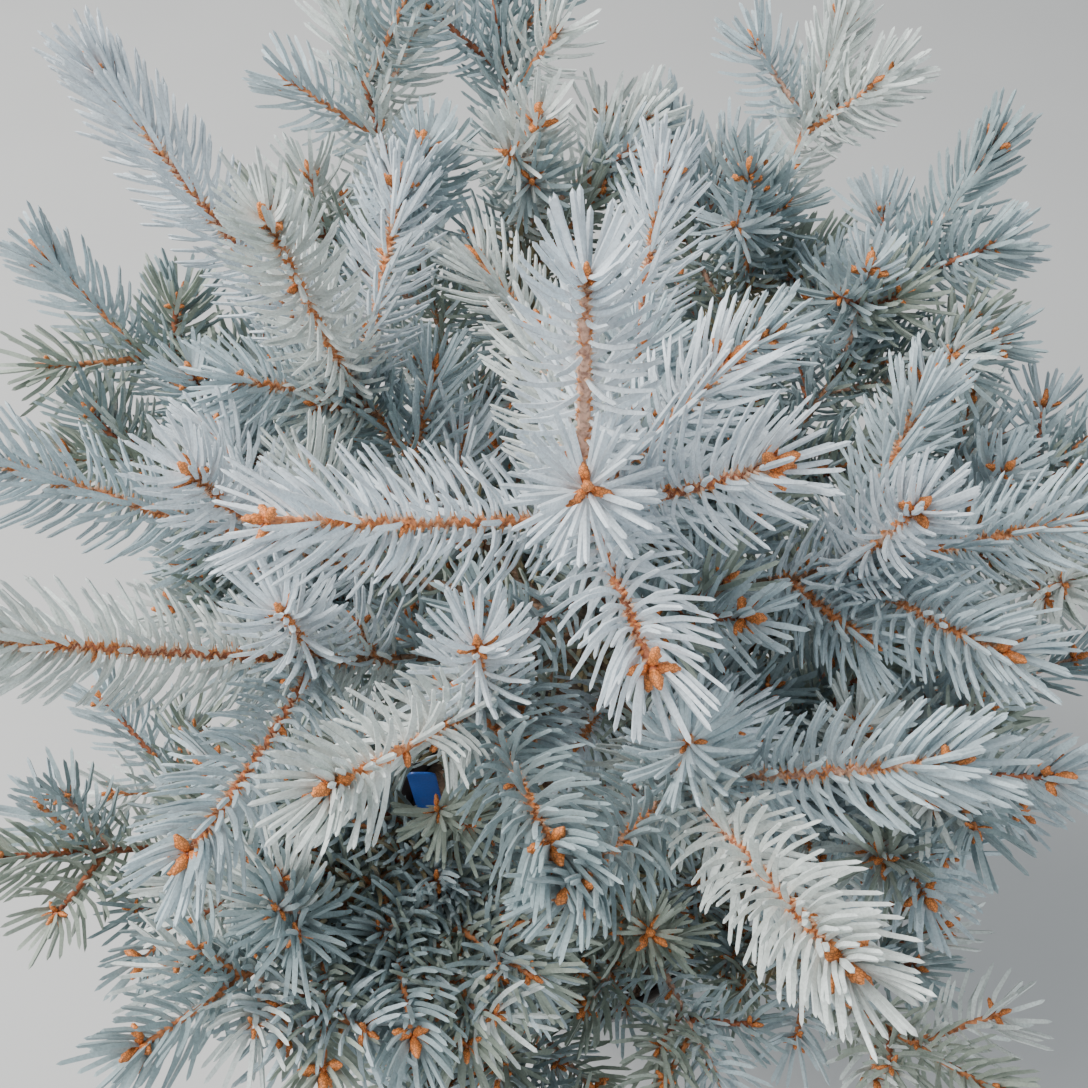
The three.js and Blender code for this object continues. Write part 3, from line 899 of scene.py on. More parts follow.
def plastic_finish(name, colour, dust, roughness):
    """Moulded plastic: a fine orange-peel skin, light scuffs and a film of dust."""
    finish = Finish(name, roughness)
    skin = finish.grain(700, detail=2.0)
    scuffs = finish.grain(30, (1, 1, 1.6), detail=6.0)
    clean = finish.shades(skin, colour, (0.3, 0.85), (0.7, 1.15))
    dusty = finish.shades(skin, dust, (0.3, 0.8), (0.7, 1.2))
    film = finish.shades(scuffs, WHITE, (0.4, 0.04), (0.85, 0.34))
    finish.colour(finish.blend(film, clean, dusty))
    finish.roughness(scuffs, roughness - 0.08, roughness + 0.2)
    finish.relief(skin, 0.12, 0.0003)
    return finish.material


def soil_finish(name, colour):
    """Moist compost: dark crumbs with paler fibres."""
    finish = Finish(name, 0.9)
    crumbs = finish.grain(260, detail=6.0)
    cells = finish.cracks(350)
    dark = finish.shades(crumbs, colour, (0.35, 0.45), (0.7, 1.5))
    fibres = finish.shades(crumbs, colour, (0.4, 1.0), (0.75, 3.0))
    finish.colour(finish.blend(finish.grain(30), dark, fibres))
    finish.roughness(crumbs, 0.8, 1.0)
    finish.relief(cells, 0.6, 0.0015)
    finish.relief(crumbs, 0.8, 0.0015)
    return finish.material


# Needles, twigs and buds


def needles_on(sprig, random, sizes):
    """The needles of one sprig: where each starts, its way, its bend and its length."""
    crowding = sizes.needles_per_centimetre / 10
    crowding *= AGE_DENSITY[sprig.age] * WHORL_DENSITY[sprig.whorl]
    count = max(FEWEST_NEEDLES, int(line_length(sprig.line) * crowding))
    evenly = (np.arange(count) + 0.5) / count
    share = 1 - (1 - evenly) ** TIP_CROWDING if sprig.tip else evenly
    places, forward = points_along(sprig.line, share)
    side, top = square_to(forward)
    roll = (np.arange(count) * GOLDEN_TURN + random.normal(0, TURN_SCATTER, count))[:, None]
    out = side * np.cos(roll) + top * np.sin(roll)
    lean = smooth_step(share, NEEDLE_TIP_START, 1) if sprig.tip else np.zeros(count)
    degrees = NEEDLE_ANGLE + (NEEDLE_TIP_ANGLE - NEEDLE_ANGLE) * lean
    degrees = degrees + random.normal(0, ANGLE_SCATTER, count)
    angle = np.radians(degrees)[:, None]
    level = 1 - abs(forward[:, 2:])
    way = unit(forward * np.cos(angle) + out * np.sin(angle) + UP * NEEDLE_LIFT * level)
    size = sizes.needle_length / MM * AGE_LENGTH[sprig.age]
    size = size * (1 + random.normal(0, LENGTH_SCATTER, count))
    if sprig.solid:
        size *= WHORL_LENGTH[sprig.whorl]
    size *= FOOT_NEEDLE_LENGTH + (1 - FOOT_NEEDLE_LENGTH) * smooth_step(share, 0, FOOT_SPAN)
    if sprig.tip:
        size *= 1 - TIP_SHORTENING * smooth_step(share, TIP_SHORT_FROM, 1)
    size = size[:, None]
    bend = size * (forward * NEEDLE_BEND_FORWARD + UP * NEEDLE_BEND_UP * level)
    radius = np.interp(share, [0, 1], sprig.radii)[:, None]
    base = places + out * radius * NEEDLE_SUNK
    found = Needles(base, way, bend, forward, size)
    kept = are_kept(found, sprig, share, out, random)
    return Needles(*(values[kept] for values in found))


def are_kept(needles, sprig, share, out, random):
    """Which needles stay: those in free space, and not where the sprig is bare."""
    kept = is_clear(needles)
    for along in GLIMPSE_TESTS:
        kept &= ~shuts_glimpse(along_needles(needles, along))
    if sprig.tip:
        above = out[:, 2] * (1 - abs(needles.forward[:, 2]))
        kept &= (share < TIP_TOP_BARE) | (above < TIP_TOP_SIDE)
    if is_leader(sprig):
        side_on = out @ LEADER_PARTING < LEADER_PARTED_FROM
        kept &= side_on | (share > LEADER_PARTED_TO) | (random.random(len(share)) < LEADER_PARTED_KEPT)
    elif sprig.whorl == "crown":
        kept &= share < CROWN_TIP_BARE
    return kept


def is_leader(sprig):
    return sprig.whorl == "crown" and not sprig.solid


def along_needles(needles, share):
    """Points on the needles' middle lines, at a share of their length."""
    return needles.base + needles.way * needles.size * share + needles.bend * share**2


def is_clear(needles):
    """Needles that end outside the pot and the trunk."""
    tip = along_needles(needles, 1)
    above = np.clip(tip[:, 2] - SOIL_TOP, 0, TRUNK_LENGTH)
    from_trunk = np.linalg.norm(tip[:, :2] - trunk_centre(above)[:, :2], axis=1)
    beside_pot = np.linalg.norm(tip[:, :2], axis=1) > RIM_RADIUS
    return ((tip[:, 2] > POT_HEIGHT) | beside_pot) & (from_trunk > trunk_radius(above) + LIMB_MARGIN)


def corners_round(needles, sides, flatness=1.0):
    """Ways from a needle's middle to its edges."""
    across = unit(np.cross(needles.way, needles.forward))
    over = np.cross(across, needles.way) * flatness
    turns = np.arange(sides) * 2 * np.pi / sides
    return np.stack([across * math.cos(turn) + over * math.sin(turn) for turn in turns], axis=1)


def needle_shape(needles, half_width, sides, rings):
    """Angled needles, each bent like a sickle, and blunt at its tip."""
    corners = corners_round(needles, sides, NEEDLE_FLATNESS) * half_width
    places = []
    for share, width in rings:
        places.append(along_needles(needles, share)[:, None] + corners * width)
    places.append(along_needles(needles, 1)[:, None])
    quads, _ = ring_faces(len(rings), sides)
    last = sides * (len(rings) - 1)
    triangles = [[last + i, last + (i + 1) % sides, last + sides] for i in range(sides)]
    triangles += [[0, i + 1, i] for i in range(1, sides - 1)]
    return repeated(np.concatenate(places, axis=1), quads, np.array(triangles))


def peg_shape(needles):
    """The short woody pegs that the needles stand on."""
    foot = (needles.base - needles.way * PEG_RADIUS)[:, None] + corners_round(needles, 4) * PEG_RADIUS
    tip = (needles.base + needles.way * PEG_LENGTH)[:, None]
    triangles = np.array([[i, (i + 1) % 4, 4] for i in range(4)])
    return repeated(np.concatenate([foot, tip], axis=1), np.array([[3, 2, 1, 0]]), triangles)


def tone_of(sprig, chance):
    """The colour that a sprig's needles get: paler on new growth, greener on old wood, and with painted
    light and shade by whorl: paler on the crown, darker and greener inside and low down.
    """
    # The whorl's shift is painted shading: paler tones up top, darker ones in the shade below and inside
    draw = min(LAST_DRAW, chance() + PAINTED_WHORL_SHADING[sprig.whorl])
    return TONES[bisect.bisect_right(AGE_TONES[sprig.age], draw)]


def stem_tone_of(sprig, chance):
    """The colour that a sprig's stem gets: pale, orange or red on new shoots, brown on older wood."""
    draw = chance()
    if sprig.age > 0:
        return "old"
    if is_leader(sprig):
        return "pale"
    return STEM_TONES[bisect.bisect_left(NEW_STEM_TONES, draw)]


@functools.lru_cache(maxsize=1)
def sprays():
    """Every sprig with its needles, and the tones that needles and stem get."""
    sizes = bpy.context.scene.spruce_sizes
    chance = Chance(TONE_SEED)
    random = np.random.default_rng(SEED)
    return [
        Spray(sprig, needles_on(sprig, random, sizes), tone_of(sprig, chance), stem_tone_of(sprig, chance))
        for sprig in plant()[1]
    ]


def foliage_nodes(whorl):
    names = [limb.foliage for limb in plant()[0] if limb.whorl == whorl]
    return names + ["leader_foliage"] if whorl == "crown" else names


def add_to_whorl(whorl, name, shapes, material, smooth=True):
    """One piece of all shapes of a kind on a whorl's shoots, if it has any."""
    if shapes:
        add_piece(name, joined(shapes), material, foliage_nodes(whorl), smooth)


def bud_shape(place, way, length, radius, small):
    """One bud: a pointed egg whose scales stand out in turn."""
    profile, sides = (SMALL_BUD_PROFILE, SMALL_BUD_SIDES) if small else (BUD_PROFILE, BUD_SIDES)
    shares, widths = np.array(profile).T
    line = place + np.outer(shares * length, way)
    scales = 1 + BUD_SCALES * (-1) ** np.add.outer(np.arange(len(shares)), np.arange(sides))
    shape = tube(line, radius * widths[:, None] * scales, sides, np.pi / sides)
    shape.points[-1] = place + way * length
    return shape


def way_out(forward, turn):
    """A way square to a direction, at a turn about it."""
    side, top = square_to(forward)
    return side * math.cos(turn) + top * math.sin(turn)


def bud_cluster(sprig, chance, length, radius):
    """The buds at a shoot's tip: one straight on, and others spread round it."""
    place, forward = points_along(sprig.line, [1.0])
    place, forward = place[0], forward[0]
    small = is_leader(sprig) or (sprig.whorl != "crown" and line_length(sprig.line) < SMALL_SHOOT)
    size = (1 + BUD_SPREAD * (chance() - 0.5)) * (SMALL_BUD_SHARE if small else 1)
    shapes = [bud_shape(place - forward, forward, length * size, radius * size, small)]
    start = 2 * math.pi * chance()
    count = SIDE_BUDS if chance() > FEWER_SIDE_BUDS else SIDE_BUDS - 1
    for i in range(count):
        out = way_out(forward, start + 2 * math.pi * i / count)
        opening = math.radians(SIDE_BUD_ANGLE * (1 + SIDE_BUD_SPREAD * (chance() - 0.5)))
        way = forward * math.cos(opening) + out * math.sin(opening)
        share = SIDE_BUD_SHARE * size
        foot = place - forward * SIDE_BUD_BACK + out * BUD_OUT
        shapes.append(bud_shape(foot, way, length * share, radius * share, small))
    if not small:
        shapes += stem_buds(sprig, chance, length, radius)
    return joined(shapes)


def stem_buds(sprig, chance, length, radius):
    """Single buds that stand along a long new shoot."""
    count = int(line_length(sprig.line) / STEM_BUD_PITCH)
    found = []
    for i in range(count):
        share = (i + STEM_BUD_FROM + STEM_BUD_PLAY * chance()) / (count + STEM_BUD_CLEAR)
        place, forward = points_along(sprig.line, [share])
        out = way_out(forward[0], 2 * math.pi * chance())
        way = unit(forward[0] * STEM_BUD_LEAN + out)
        size = (length * STEM_BUD_LENGTH, radius * STEM_BUD_RADIUS)
        found.append(bud_shape(place[0] + out * BUD_OUT, way, *size, True))
    return found


# Bark, pot, soil and label


def bumpy(points, layers, seed=0):
    """Layers of noise at each point, added up."""
    total = np.zeros(points.shape[:-1])
    for height, scale, shift in layers:
        flat = points.reshape(-1, 3) * scale + (seed + shift)
        total += height * np.array([noise.noise(Vector(place)) for place in flat]).reshape(total.shape)
    return total


def tube_skin(line, radii, sides):
    """The points of a tube, ring by ring."""
    return tube(line, radii, sides).points[: len(line) * sides].reshape(len(line), sides, 3)


def bough_skin(line, radii, relief, seed):
    """A bough whose skin is raised into ridges and plates that run along it."""
    along = np.concatenate([[0], np.cumsum(np.linalg.norm(np.diff(line, axis=0), axis=1))])
    stretched = tube_skin(line, radii, BOUGH_SIDES) - line[:, None]
    shift = (along[:, None] * unit(np.gradient(line, axis=0)))[:, None] * BOUGH_GRAIN_STRETCH
    ridges = bumpy(stretched + shift, BOUGH_RIDGES, seed)
    return tube(line, radii[:, None] + relief * ridges, BOUGH_SIDES)


def revolved(name, outline, segments):
    """A mesh turned about Z from an outline of (radius, height) in millimetres."""
    body = bmesh.new()
    corners = [body.verts.new((radius * MM, 0, height * MM)) for radius, height in outline]
    edges = [body.edges.new(pair) for pair in zip(corners, corners[1:])]
    bmesh.ops.spin(
        body,
        geom=corners + edges,
        cent=(0, 0, 0),
        axis=(0, 0, 1),
        dvec=(0, 0, 0),
        angle=2 * math.pi,
        steps=segments,
        use_merge=True,
    )
    bmesh.ops.remove_doubles(body, verts=body.verts, dist=MERGE_DISTANCE * MM)
    bmesh.ops.recalc_face_normals(body, faces=body.faces)
    mesh = bpy.data.meshes.new(name)
    body.to_mesh(mesh)
    body.free()
    return mesh


def cut_by(mesh, cutter_mesh):
    """The mesh with another cut out of it."""
    piece = bpy.data.objects.new("piece_to_cut", mesh)
    cutter = bpy.data.objects.new("cutter", cutter_mesh)
    for item in (piece, cutter):
        bpy.context.scene.collection.objects.link(item)
    modifier = piece.modifiers.new("cut", "BOOLEAN")
    modifier.operation = "DIFFERENCE"
    modifier.solver = "EXACT"
    modifier.object = cutter
    result = bpy.data.meshes.new_from_object(piece.evaluated_get(bpy.context.evaluated_depsgraph_get()))
    name = mesh.name
    for item in (piece, cutter):
        bpy.data.objects.remove(item)
    bpy.data.meshes.remove(mesh)
    bpy.data.meshes.remove(cutter_mesh)
    result.name = name
    return result


def shade_by_angle(mesh, degrees):
    mesh.shade_smooth()
    mesh.set_sharp_from_angle(angle=math.radians(degrees))


def pot_outer(height):
    return FOOT_RADIUS + (RIM_RADIUS - RIM_STEP - FOOT_RADIUS) / POT_HEIGHT * height


def arc(centre, radius, start, end, steps):
    """Points on an arc in the outline's plane, in degrees from outward."""
    turns = np.radians(np.linspace(start, end, steps + 1))
    return [(centre[0] + radius * math.cos(t), centre[1] + radius * math.sin(t)) for t in turns]


def ring_groove(height):
    """A shallow groove round the wall."""
    points = []
    for rise, sunk in [(-rise, sunk) for rise, sunk in reversed(RING_SECTION[1:])] + RING_SECTION:
        here = height + RING_WIDTH / 2 * rise
        points.append((pot_outer(here) - RING_DEPTH * sunk, here))
    return points


# Operators


def number_property(name, description, default, low, high, **kind):
    return bpy.props.FloatProperty(
        name=name, description=description, default=default, min=low, max=high, **kind
    )


def length_property(name, description, default, low, high):
    return number_property(name, description, default, low, high, unit="LENGTH")


def angle_property(name, description, degrees):
    return bpy.props.FloatProperty(
        name=name, description=description, default=math.radians(degrees), subtype="ANGLE", unit="ROTATION"
    )


def colour_property(name, description, default):
    return bpy.props.FloatVectorProperty(
        name=name,
        description=description,
        default=default,
        min=0,
        max=1,
        size=3,
        subtype="COLOR",
    )


class SpruceSizes(bpy.types.PropertyGroup):
    """Sizes of needles, twigs, buds and bark."""

    needle_length: length_property("Needle length", "Length of a needle on new growth", 0.0215, 0.01, 0.03)
    needle_width: length_property("Needle width", "Width from edge to edge", 0.0022, 0.0008, 0.003)
    needles_per_centimetre: number_property(
        "Needles per centimetre", "Needles on each centimetre of new growth", 15, 4, 25
    )
    bud_length: length_property("Bud length", "Length of the bud at a shoot's tip", 0.0092, 0.003, 0.012)
    bud_radius: length_property("Bud radius", "Radius of a bud at its widest", 0.0022, 0.001, 0.004)
    bark_relief: length_property("Bark relief", "How far the bark stands up and sinks in", 0.0008, 0, 0.002)


class SpruceColours(bpy.types.PropertyGroup):
    """Base colours, in linear light."""

    cream: colour_property("Cream needles", "The palest new growth with a warm cast", (0.75, 0.81, 0.78))
    silver: colour_property("Silver needles", "The palest new growth", (0.76, 0.845, 0.9))
    frost: colour_property("Frosted needles", "New growth with a cool cast", (0.54, 0.65, 0.69))
    blue: colour_property("Blue-grey needles", "New growth with less bloom", (0.36, 0.46, 0.48))
    # Green is also dealt as painted shade, to sprays on the shaded lower and inner whorls
    green: colour_property("Green needles", "Older growth and shaded sprays", (0.4, 0.46, 0.39))
    straw: colour_property("Straw needles", "Spent needles near the trunk", (0.36, 0.29, 0.16))
    pale_stem: colour_property("Palest stems", "Stems of the leader and some new shoots", (0.74, 0.42, 0.3))
    new_stem: colour_property("New stems", "Stems of this year's shoots", (0.66, 0.25, 0.1))
    red_stem: colour_property("Red stems", "Stems of the darker new shoots", (0.42, 0.14, 0.065))
    peg: colour_property("Pegs", "Pegs that the needles stand on", (0.78, 0.3, 0.1))
    pale_peg: colour_property("Freshest pegs", "Pegs where they are pink", (0.86, 0.56, 0.38))
    old_stem: colour_property("Older stems", "Stems of earlier years", (0.36, 0.18, 0.09))
    bark: colour_property("Trunk bark", "Plates of the trunk's bark", (0.18, 0.12, 0.08))
    bough: colour_property("Bough bark", "Bark of the boughs", (0.27, 0.14, 0.075))
    bud: colour_property("Buds", "Scales of the buds", (0.84, 0.27, 0.07))
    pot: colour_property("Pot", "Black moulded plastic", (0.018, 0.019, 0.021))
    dust: colour_property("Dust", "Dried soil on the pot", (0.16, 0.12, 0.085))
    soil: colour_property("Soil", "Moist compost", (0.05, 0.031, 0.02))
    label: colour_property("Label", "Plain blue plastic", (0.02, 0.1, 0.42))


class SpruceStage(bpy.types.PropertyGroup):
    """Floor, light and camera."""

    floor: colour_property("Floor", "Pale studio floor", (0.6, 0.6, 0.59))
    sky: number_property("Sky strength", "Strength of the soft light from all round", 0.38, 0, 5)
    key: number_property("Key light", "Power of the soft light overhead", 86, 0, 500, subtype="POWER")
    camera_place: bpy.props.FloatVectorProperty(
        name="Camera place",
        description="Where the camera stands",
        default=CAMERA_PLACE,
        size=3,
        subtype="TRANSLATION",
        unit="LENGTH",
    )
    camera_tilt: angle_property("Camera tilt", "Angle up from looking straight down", CAMERA_TILT)
    field_of_view: angle_property("Field of view", "Angle that the camera takes in", FIELD_OF_VIEW)


class SPRUCE_OT_pot(bpy.types.Operator):
    """Add the nursery pot with its rim, rings and drain slots"""

    bl_idname = "spruce.add_pot"
    bl_label = "Add Pot"

    def outline(self):
        """The pot's section as (radius, height), from the middle of its underside to that of its floor."""
        band = POT_HEIGHT - RIM_BAND
        lip = POT_WALL * LIP_SHARE
        stand = FOOT_RADIUS - STAND_WIDTH
        floor = pot_outer(POT_FLOOR) - POT_WALL
        points = [(0, UNDERSIDE_RISE), (stand - STAND_SLOPE, UNDERSIDE_RISE), (stand, 0)]
        points += arc((FOOT_RADIUS - FOOT_ROUND, FOOT_ROUND), FOOT_ROUND, -90, 0, 5)
        for height in RING_HEIGHTS:
            points += ring_groove(height)
        points += [(pot_outer(band - BAND_START), band - BAND_START), (pot_outer(band) + BAND_LEDGE, band)]
        points += arc((RIM_RADIUS - BAND_ROUND, band + RIM_STEP), BAND_ROUND, -60, 0, 4)
        points += arc((RIM_RADIUS - lip, POT_HEIGHT - lip), lip, 0, 180, 10)
        points += [(pot_outer(POT_HEIGHT) - POT_WALL, POT_HEIGHT - RIM_INSIDE)]
        points += [(floor, POT_FLOOR + FLOOR_ROUND), (floor - FLOOR_ROUND, POT_FLOOR), (0, POT_FLOOR)]
        return points

    def drain_slots(self):
        """The blocks that the drain slots are cut with."""
        slots = bmesh.new()
        middle = POT_FLOOR + DRAIN_HEIGHT / 2 + POT_WALL
        size = Matrix.Diagonal(((2 * RIM_STEP + POT_WALL) * MM, DRAIN_WIDTH * MM, DRAIN_HEIGHT * MM, 1))
        for i in range(DRAIN_COUNT):
            turn = Matrix.Rotation((i + 0.5) * 2 * math.pi / DRAIN_COUNT, 4, "Z")
            place = turn @ Matrix.Translation((FOOT_RADIUS * MM, 0, middle * MM))
            slot = bmesh.ops.create_cube(slots, size=1, matrix=place @ size)
            edges = dict.fromkeys(edge for vert in slot["verts"] for edge in vert.link_edges)
            bmesh.ops.bevel(slots, geom=list(edges), offset=SLOT_ROUND * MM, segments=3, affect="EDGES")
        cutter = bpy.data.meshes.new("drain_slots")
        slots.to_mesh(cutter)
        slots.free()
        return cutter

    def execute(self, context):
        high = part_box("pot")[1]
        if abs(high.x - RIM_RADIUS * MM) > MM or abs(high.z - POT_HEIGHT * MM) > MM:
            raise RuntimeError("the packed pot has another size")
        mesh = cut_by(revolved("nursery_pot", self.outline(), POT_SEGMENTS), self.drain_slots())
        shade_by_angle(mesh, SHARP_ANGLE)
        colours = context.scene.spruce_colours
        material = plastic_finish("black_pot_plastic", colours.pot, colours.dust, 0.42)
        place_piece(mesh, material, ["pot"])
        return {"FINISHED"}


class SPRUCE_OT_soil(bpy.types.Operator):
    """Add the crumbly compost and the chips that lie on it"""

    bl_idname = "spruce.add_soil"
    bl_label = "Add Soil"

    def surface(self, points):
        """The height of the soil at each point, with crumbs, and banked up a little round the trunk."""
        flat = np.concatenate([points[..., :2], np.zeros(points.shape[:-1] + (1,))], axis=-1)
        radius = np.linalg.norm(points[..., :2], axis=-1)
        fall = SOIL_FALL * smooth_step(radius, SOIL_FALL_FROM, SOIL_FALL_TO)
        return SOIL_TOP - fall + bumpy(flat, SOIL_CRUMBS)

    def execute(self, context):
        edge = pot_outer(SOIL_TOP - SOIL_FALL) - POT_WALL - JOINT_GAP
        radii = np.linspace(0, 1, SOIL_RINGS + 1)[1:] * edge
        turns = np.arange(SOIL_SEGMENTS) * 2 * np.pi / SOIL_SEGMENTS
        plan = np.zeros((SOIL_RINGS, SOIL_SEGMENTS, 3))
        plan[..., 0] = np.outer(radii, np.cos(turns))
        plan[..., 1] = np.outer(radii, np.sin(turns))
        plan[..., 2] = self.surface(plan)
        floor = POT_FLOOR + JOINT_GAP
        foot = plan[-1] * (pot_outer(floor) - POT_WALL - JOINT_GAP) / edge
        foot[:, 2] = floor
        middles = [[0, 0, SOIL_TOP + SOIL_MIDDLE_RISE], [0, 0, floor]]
        points = np.concatenate([plan.reshape(-1, 3), foot, middles])
        quads, triangles = ring_faces(SOIL_RINGS + 1, SOIL_SEGMENTS)
        shape = Shape(points, quads[:, [0, 3, 2, 1]], triangles[:, [1, 0, 2]])
        colours = context.scene.spruce_colours
        material = soil_finish("moist_compost", colours.soil)
        add_piece("compost", shape, material, ["soil"])
        chip_material = soil_finish("bark_chips", shade(colours.soil, CHIP_SHADE))
        add_piece("compost_chips", self.chip_shape(edge), chip_material, smooth=False)
        return {"FINISHED"}

    def chip_shape(self, edge):
        """Small flat chips of bark, turned every way."""
        random = np.random.default_rng(SEED)
        radius = np.sqrt(random.uniform(*CHIP_SPREAD, CHIP_COUNT)) * edge
        turn = random.uniform(0, 2 * np.pi, CHIP_COUNT)
        places = np.stack([radius * np.cos(turn), radius * np.sin(turn), np.zeros(CHIP_COUNT)], axis=-1)
        places[:, 2] = self.surface(places) + CHIP_LIFT
        size = random.uniform(*CHIP_SIZES, (CHIP_COUNT, 1, 1)) * np.array(CHIP_SHAPE)
        shapes = np.array(CHIP_CORNERS) * size * random.uniform(*CHIP_VARIETY, (CHIP_COUNT, 6, 3))
        tilts = random.normal(0, CHIP_TILT, (CHIP_COUNT, 2))
        spins = random.uniform(0, 2 * np.pi, CHIP_COUNT)
        for i, (tilt, spin) in enumerate(zip(tilts, spins)):
            shapes[i] = shapes[i] @ np.array(Euler((*tilt, spin)).to_matrix()).T
        triangles = []
        for i in range(4):
            triangles += [[i, (i + 1) % 4, 4], [(i + 1) % 4, i, 5]]
        return repeated(shapes + places[:, None], np.zeros((0, 4), int), np.array(triangles))


class SPRUCE_OT_label(bpy.types.Operator):
    """Add the plain plant label"""

    bl_idname = "spruce.add_label"
    bl_label = "Add Label"

    def execute(self, context):
        low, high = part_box("label")
        half = (high.x - low.x) / 2
        corner = half * LABEL_CORNER
        point = (high.z - low.z) * LABEL_POINT
        outline = [(0, low.z + LABEL_LIFT), (half, low.z + point)]
        outline += arc((half - corner, high.z - corner), corner, 0, 90, 6)
        outline += [(-x, z) for x, z in reversed(outline[1:])]
        body = bmesh.new()
        centre = (low + high) / 2
        face = body.faces.new([body.verts.new((centre.x + x, low.y, z)) for x, z in outline])
        grown = bmesh.ops.extrude_face_region(body, geom=[face])
        moved = [item for item in grown["geom"] if isinstance(item, bmesh.types.BMVert)]
        bmesh.ops.translate(body, verts=moved, vec=(0, high.y - low.y, 0))
        bmesh.ops.recalc_face_normals(body, faces=body.faces)
        rims = [edge for edge in body.edges if edge.calc_face_angle(0) > math.radians(LABEL_EDGE_ANGLE)]
        bmesh.ops.bevel(body, geom=rims, offset=LABEL_EDGE, segments=2, affect="EDGES")
        mesh = bpy.data.meshes.new("plant_label")
        body.to_mesh(mesh)
        body.free()
        shade_by_angle(mesh, SHARP_ANGLE)
        blue = context.scene.spruce_colours.label
        material = plastic_finish("blue_label_plastic", blue, shade(blue, LABEL_SHADE), 0.35)
        place_piece(mesh, material, ["label"])
        return {"FINISHED"}


class SPRUCE_OT_trunk(bpy.types.Operator):
    """Add the trunk's bark, from the flare in the soil to the leader's tip"""

    bl_idname = "spruce.add_trunk"
    bl_label = "Add Trunk"

    def execute(self, context):
        colours = context.scene.spruce_colours
        relief = context.scene.spruce_sizes.bark_relief / MM
        flare = np.arange(0, FLARE_RINGS_TO, FLARE_RING_PITCH)
        heights = np.concatenate([flare, np.arange(FLARE_RINGS_TO, LEADER_FOOT + 1, BARK_RING_PITCH)])
        line = trunk_centre(heights)
        radii = trunk_radius(heights)
        turns = np.arange(TRUNK_SIDES) * 2 * np.pi / TRUNK_SIDES
        lobes = np.cos(TRUNK_LOBES * turns + LOBE_TURN) - LOBE_SUNK
        lobes = 1 + LOBE_DEPTH * np.outer(1 - smooth_step(heights, 0, LOBES_TO), lobes)
        fade = np.clip(radii / radii[0], LEAST_RELIEF, 1) * relief
        ridges = bumpy(tube_skin(line, radii, TRUNK_SIDES) * TRUNK_GRAIN_STRETCH, TRUNK_RIDGES)
        shape = tube(line, radii[:, None] * lobes + fade[:, None] * ridges, TRUNK_SIDES)
        material = bark_finish("trunk_bark", colours.bark, 150)
        add_piece("trunk_bark", shape, material, ["trunk"])
        tip = np.linspace(LEADER_FOOT - LEADER_SUNK, LEADER_TIP, LEADER_RINGS)
        swell = 1 + LEADER_SWELL * (np.arange(len(tip)) % 2)
        leader = tube(trunk_centre(tip), trunk_radius(tip) * swell, LEADER_SIDES, math.pi / LEADER_SIDES)
        stem = stem_finish("leader_stem", colours.pale_stem)
        add_piece("leader_stem", leader, stem)
        return {"FINISHED"}


class SPRUCE_OT_boughs(bpy.types.Operator):
    """Add the boughs' bark, from the trunk to where their foliage starts"""

    bl_idname = "spruce.add_boughs"
    bl_label = "Add Boughs"

    def execute(self, context):
        relief = context.scene.spruce_sizes.bark_relief / MM * BOUGH_RELIEF
        boughs = [limb for limb in plant()[0] if limb.wood > 0]
        shapes = []
        for limb in boughs:
            steps = round(limb.reach * limb.wood / BOUGH_RING_PITCH)
            line = limb_point(limb, np.linspace(0, limb.wood, steps + 1))
            radii = np.linspace(limb.radius, STEM_RADIUS, steps + 1)
            collar = 1 + COLLAR_SWELL * np.exp(-np.arange(steps + 1) / COLLAR_RINGS)
            shapes.append(bough_skin(line, radii * collar, relief, limb.seed % BOUGH_SEED_SPAN))
        material = bark_finish("bough_bark", context.scene.spruce_colours.bough, 320)
        add_piece("bough_bark", joined(shapes), material, [limb.bough for limb in boughs])
        return {"FINISHED"}


class SPRUCE_OT_twigs(bpy.types.Operator):
    """Add the ridged stems of all shoots, with the pegs that their needles stand on"""

    bl_idname = "spruce.add_twigs"
    bl_label = "Add Twigs"

    def twig(self, sprig):
        step = 1 if sprig.whorl in PEGGED else FAR_RING_STEP
        line = np.concatenate([sprig.line[:-1:step], sprig.line[-1:]])
        rings = len(line)
        radii = np.linspace(*sprig.radii, rings) * (1 + TWIG_SWELL * (np.arange(rings) % 2))
        return tube(line, radii, TWIG_SIDES, math.pi / TWIG_SIDES)

    def execute(self, context):
        colours = context.scene.spruce_colours
        finishes = [stem_finish(f"{tone}_stems", getattr(colours, f"{tone}_stem")) for tone in STEM_TONES]
        for whorl in WHORL_NAMES:
            for tone, material in zip(STEM_TONES, finishes):
                shapes = [
                    self.twig(spray.sprig)
                    for spray in sprays()
                    if spray.sprig.whorl == whorl and spray.sprig.solid and spray.stem == tone
                ]
                add_to_whorl(whorl, f"twigs_{whorl}_{tone}", shapes, material)
        material = peg_finish("needle_pegs", colours.peg, colours.pale_peg)
        for whorl in PEGGED:
            shapes = [
                peg_shape(spray.needles)
                for spray in sprays()
                if spray.sprig.whorl == whorl and spray.sprig.age < WOOD_AGE
            ]
            add_to_whorl(whorl, f"pegs_{whorl}", shapes, material)
        return {"FINISHED"}


class SPRUCE_OT_needles(bpy.types.Operator):
    """Add all needles, joined by whorl and by the tone of their spray"""

    bl_idname = "spruce.add_needles"
    bl_label = "Add Needles"

    def execute(self, context):
        colours = context.scene.spruce_colours
        half = context.scene.spruce_sizes.needle_width / MM / 2
        for tone in TONES:
            material = needle_finish(f"{tone}_needles", getattr(colours, tone))
            for whorl in WHORL_NAMES:
                shapes = [
                    needle_shape(spray.needles, half, *NEEDLE_FORMS[whorl])
                    for spray in sprays()
                    if spray.sprig.whorl == whorl and spray.tone == tone and len(spray.needles.base)
                ]
                add_to_whorl(whorl, f"needles_{whorl}_{tone}", shapes, material, smooth=False)
        return {"FINISHED"}


